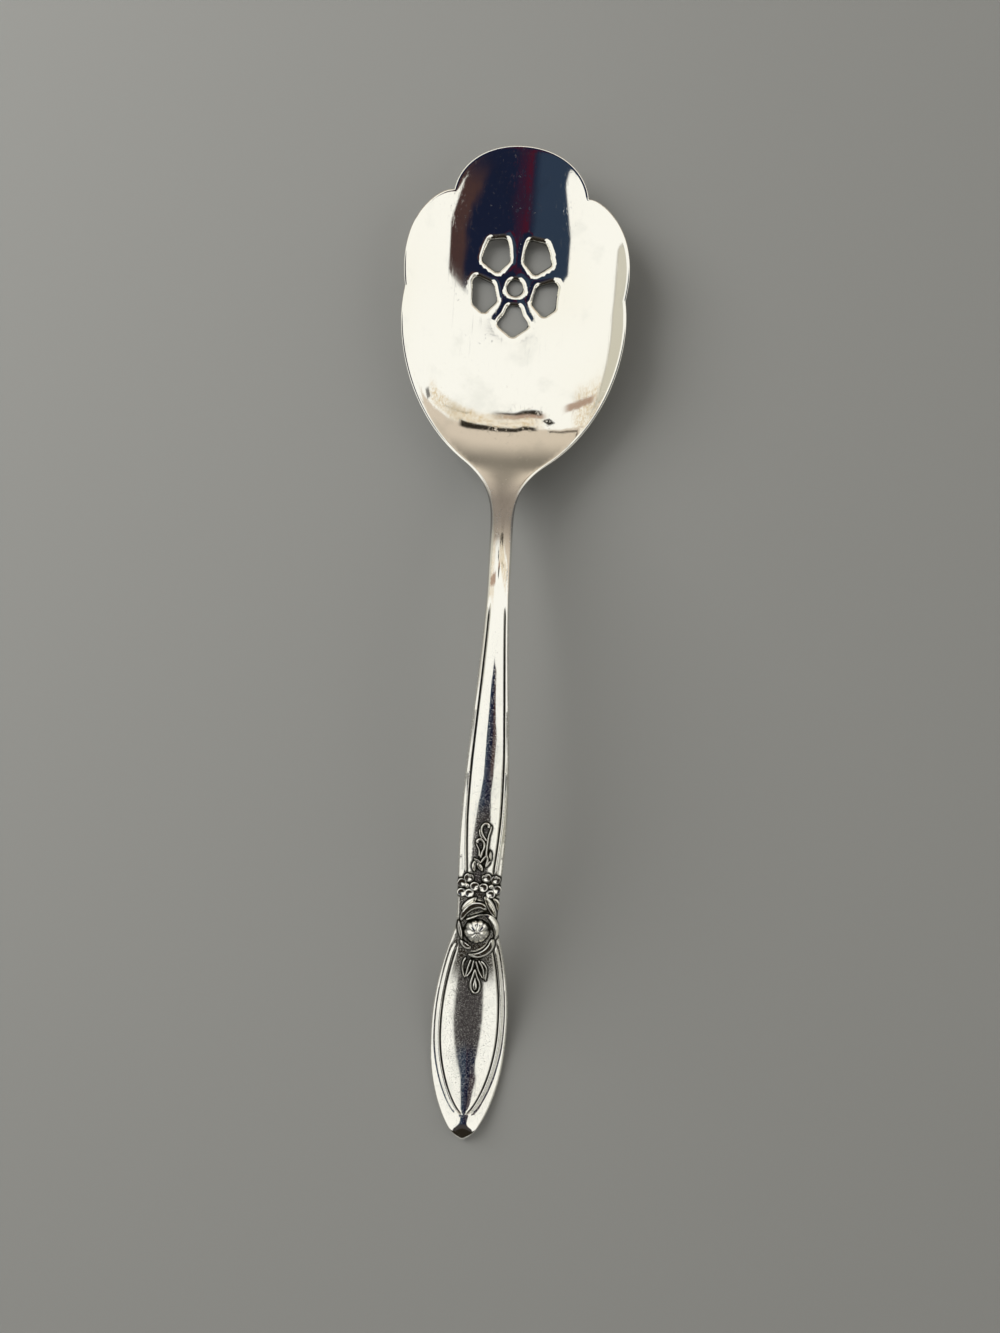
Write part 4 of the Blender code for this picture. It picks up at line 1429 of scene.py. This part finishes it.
class Studio:
    """Draws a white tent, a far wall and a dark card on the flat map of the sky."""

    def __init__(self, graph, look):
        self.graph = graph
        self.look = look
        ray = graph.node("ShaderNodeTexCoord", output="Generated")
        x = graph.node("ShaderNodeSeparateXYZ", None, {"Vector": ray}, "X")
        self.up = x.output("Z")
        self.across = x / (SKY_REACH + self.up)
        self.ahead = x.output("Y") / (SKY_REACH + self.up)
        self.right = self.across.at_least(0.0)
        self.left = self.across.at_most(0.0)
        self.wave = graph.noise(ray, WAVE_SCALE, 3.0) - 0.5
        self.ripple = graph.noise(ray, RIPPLE_SCALE, 4.0)
        hem = self.ahead + HEM_CURVE * self.right * self.right
        hem = hem + graph.step(self.across, *HEM_STEP_ACROSS) * HEM_STEP
        self.hem = hem - HEM_AHEAD + self.wave * HEM_WAVE

    def picture(self):
        """Colour of the whole sky."""
        picture = self.tent()
        picture = self.walls(picture)
        picture = self.folds(picture)
        picture = self.card(picture)
        return self.foot(picture)

    def band(self, low, high, soft):
        """1 where across lies between two values."""
        rise = self.graph.step(self.across, low - soft, low + soft)
        return rise * self.graph.step(self.across, high + soft, high - soft)

    def tent(self):
        """White tent with golden patches along its hem."""
        picture = self.look.softbox
        for plain, ripples, patches in HEM_PATCHES:
            mask = strongest([self.patch(patch) for patch in patches])
            rippled = plain + (1 - plain) * self.graph.step(self.ripple, *ripples)
            picture = self.graph.mix(mask * rippled, picture, self.look.hem)
        return picture

    def patch(self, patch):
        """Mask of a patch of the hem."""
        mask = self.band(*patch.span) * self.graph.step(self.hem, *patch.fade_in)
        return mask * self.graph.step(self.hem, *patch.fade_out) if patch.fade_out else mask

    def walls(self, picture):
        """Far wall under the hem, left wall and the low part of the right one."""
        step, mix, look = self.graph.step, self.graph.mix, self.look
        low = step(self.hem, *SKIRTING_TOP)
        picture = mix(step(self.hem, *HEM_EDGE), picture, mix(low, look.wall, look.skirting))
        lean = SIDE_LEAN * (self.ahead - SIDE_LEAN_AHEAD).at_least(0.0)
        beside = lean - self.across + SIDE_ACROSS - step(self.ahead, *SIDE_START) * SIDE_START_SHIFT
        picture = mix(step(beside, *SIDE_EDGE), picture, mix(low, look.side, look.skirting))
        seam = step(abs(beside), *SIDE_SEAM) * SIDE_SEAM_STRENGTH
        picture = mix(seam, picture, look.skirting)
        shade = step(self.across, *SHADE_ACROSS) * step(self.ahead, *SHADE_AHEAD)
        return mix(shade, picture, look.shade)

    def fold(self, fold):
        """Mask of a fold of the hem, with soft sides."""
        level, half = fold.level, fold.half
        if fold.left_rise:
            level = level + self.left * fold.left_rise
        if fold.right_rise:
            level = level + self.right * fold.right_rise
        if fold.growth:
            half = half + self.across * fold.growth
        if fold.taper:
            half = half * self.graph.step(self.across, *fold.taper) + THINNEST_FOLD
        line = self.graph.step(abs(self.hem - level) / half, *FOLD_EDGE)
        return line * self.band(*fold.span) * fold.strength

    def knot(self, knot):
        """Mask of a knot of the hem."""
        level = knot.level + self.left * knot.left_rise
        aside = abs(self.across - knot.across) / knot.half_width
        above = abs(self.hem - level) / knot.half_height
        return self.graph.step(aside + above, *knot.edge) * knot.strength

    def folds(self, picture):
        """Brown and dark folds of the hem, with its knots."""
        brown = strongest([self.fold(fold) for fold in BROWN_FOLDS])
        picture = self.graph.mix(brown, picture, self.look.fold)
        dark = [self.fold(fold) for fold in DARK_FOLDS] + [self.knot(knot) for knot in KNOTS]
        return self.graph.mix(strongest(dark), picture, self.look.seam)

    def card(self, picture):
        """Dark card overhead with a thin stripe, an edging and a lighter near part."""
        step, mix, look, across = self.graph.step, self.graph.mix, self.look, self.across
        lean = self.ahead.at_most(0.0).at_least(CARD_LEAN_END)
        near = step(self.ahead, *CARD_NEAR)
        right_edge = CARD_RIGHT + CARD_RIGHT_LEAN * lean - CARD_RIGHT_NEAR * near
        left_edge = CARD_LEFT + CARD_LEFT_LEAN * lean + CARD_LEFT_NEAR * near
        far_edge = CARD_FAR - CARD_FAR_PEAK * abs(across) + CARD_FAR_LEAN * across
        card = step(right_edge - across, *CARD_SIDE_EDGE) * step(across + left_edge, *CARD_SIDE_EDGE)
        card = card * step(far_edge - self.ahead, *CARD_FAR_EDGE)
        cloth = mix(step(across, *SLATE_ACROSS), look.card, look.slate)
        cloth = mix(self.band(*STRIPE), cloth, look.stripe)
        edging = step(across - CARD_RIGHT_LEAN * lean + self.wave * EDGING_WAVE, *EDGING_ACROSS)
        edging = edging * (EDGING_PLAIN + self.ripple * EDGING_RIPPLE) * step(self.ahead, *EDGING_AHEAD)
        cloth = mix(edging, cloth, look.edging)
        cloth = mix(step(self.ahead, *HIDE_AHEAD), cloth, look.hide)
        return mix(card, picture, cloth)

    def foot(self, picture):
        """Dark strip low in front, and the plain backdrop for the camera and low in reflections."""
        step, mix = self.graph.step, self.graph.mix
        foot = step(abs(self.across), *FOOT_ACROSS) * step(self.ahead, *FOOT_AHEAD)
        picture = mix(foot, picture, self.look.seam)
        camera = self.graph.node("ShaderNodeLightPath", output="Is Camera Ray")
        mirrored = camera.output("Is Glossy Ray") + camera.output("Is Transmission Ray")
        sweep = camera.at_least(mirrored * step(self.up, *HORIZON))
        return mix(sweep, picture, self.look.backdrop)


def strongest(masks):
    """Largest of several masks."""
    first, *others = masks
    for mask in others:
        first = first.at_least(mask)
    return first


class SPOON_OT_stage(bpy.types.Operator):
    """Sets the plain floor, the soft studio around it, the key light and the camera"""

    bl_idname = "spoon.stage"
    bl_label = "Stage"

    def execute(self, context):
        scene = context.scene
        look = scene.spoon_stage
        self.floor(scene, look)
        self.studio(scene, look)
        self.key_light(scene)
        self.camera(scene)
        scene.view_settings.view_transform = "Standard"
        return {"FINISHED"}

    def floor(self, scene, look):
        """Plain floor that the spoon lies on."""
        shape = bmesh.new()
        bmesh.ops.create_grid(shape, x_segments=1, y_segments=1, size=FLOOR_SIZE / 2)
        mesh = bpy.data.meshes.new("floor")
        shape.to_mesh(mesh)
        shape.free()
        material, _, shader = new_material("floor_paint")
        shader.inputs["Base Color"].default_value = (*look.floor, 1.0)
        shader.inputs["Roughness"].default_value = FLOOR_ROUGHNESS
        shader.inputs["Specular IOR Level"].default_value = FLOOR_GLOSS
        mesh.materials.append(material)
        floor = bpy.data.objects.new("floor", mesh)
        floor.location.z = -FLOOR_DROP
        scene.collection.objects.link(floor)

    def studio(self, scene, look):
        """World that shows the studio."""
        world = bpy.data.worlds.new("studio")
        world.use_nodes = True
        scene.world = world
        picture = Studio(Graph(world.node_tree), look).picture()
        background = world.node_tree.nodes["Background"]
        world.node_tree.links.new(picture.socket, background.inputs["Color"])

    def key_light(self, scene):
        """Soft lamp from the left, which mirrors in no metal."""
        lamp = bpy.data.lights.new("key", "AREA")
        lamp.shape = "DISK"
        lamp.size = KEY_SIZE
        lamp.energy = KEY_POWER
        key = bpy.data.objects.new("key", lamp)
        key.location = KEY_PLACE
        key.visible_glossy = False
        key.rotation_euler = (-Vector(KEY_PLACE)).to_track_quat("-Z", "Y").to_euler()
        scene.collection.objects.link(key)

    def camera(self, scene):
        """Camera with the lens of the photograph."""
        data = bpy.data.cameras.new("camera")
        data.sensor_width = SENSOR
        data.lens = SENSOR * FOCAL_PIXELS / PICTURE_HEIGHT
        data.clip_start = MM
        camera = bpy.data.objects.new("camera", data)
        camera.location = CAMERA_PLACE
        camera.rotation_euler = Euler(CAMERA_TURN, "XYZ")
        scene.collection.objects.link(camera)
        scene.camera = camera


STEPS = (
    SPOON_OT_stage,
    SPOON_OT_tendrils,
    SPOON_OT_blossoms,
    SPOON_OT_leaves,
    SPOON_OT_rose,
    SPOON_OT_body,
)


class SPOON_PT_sidebar(bpy.types.Panel):
    """Lists the steps that build the spoon."""

    bl_idname = "SPOON_PT_sidebar"
    bl_label = "Sugar spoon"
    bl_space_type = "VIEW_3D"
    bl_region_type = "UI"
    bl_category = "Sugar spoon"

    def draw(self, context):
        for step in STEPS:
            self.layout.operator(step.bl_idname)


GROUPS = {
    "spoon_bowl": BowlSizes,
    "spoon_piercing": PiercingSizes,
    "spoon_handle": HandleSizes,
    "spoon_relief": ReliefSizes,
    "spoon_finishes": Finishes,
    "spoon_stage": StageLook,
}


def register():
    """Add the sizes and looks to the scene, and the steps and the panel to Blender."""
    for name, group in GROUPS.items():
        bpy.utils.register_class(group)
        setattr(bpy.types.Scene, name, bpy.props.PointerProperty(type=group))
    for step in (*STEPS, SPOON_PT_sidebar):
        bpy.utils.register_class(step)


def unregister():
    """Take out what register added."""
    for step in reversed((*STEPS, SPOON_PT_sidebar)):
        bpy.utils.unregister_class(step)
    for name, group in reversed(GROUPS.items()):
        delattr(bpy.types.Scene, name)
        bpy.utils.unregister_class(group)


def main():
    """Build the spoon on its stage."""
    register()
    bpy.ops.spoon.stage()
    bpy.ops.spoon.tendrils()
    bpy.ops.spoon.blossoms()
    bpy.ops.spoon.leaves()
    bpy.ops.spoon.rose()
    bpy.ops.spoon.body()


if __name__ == "__main__":
    main()
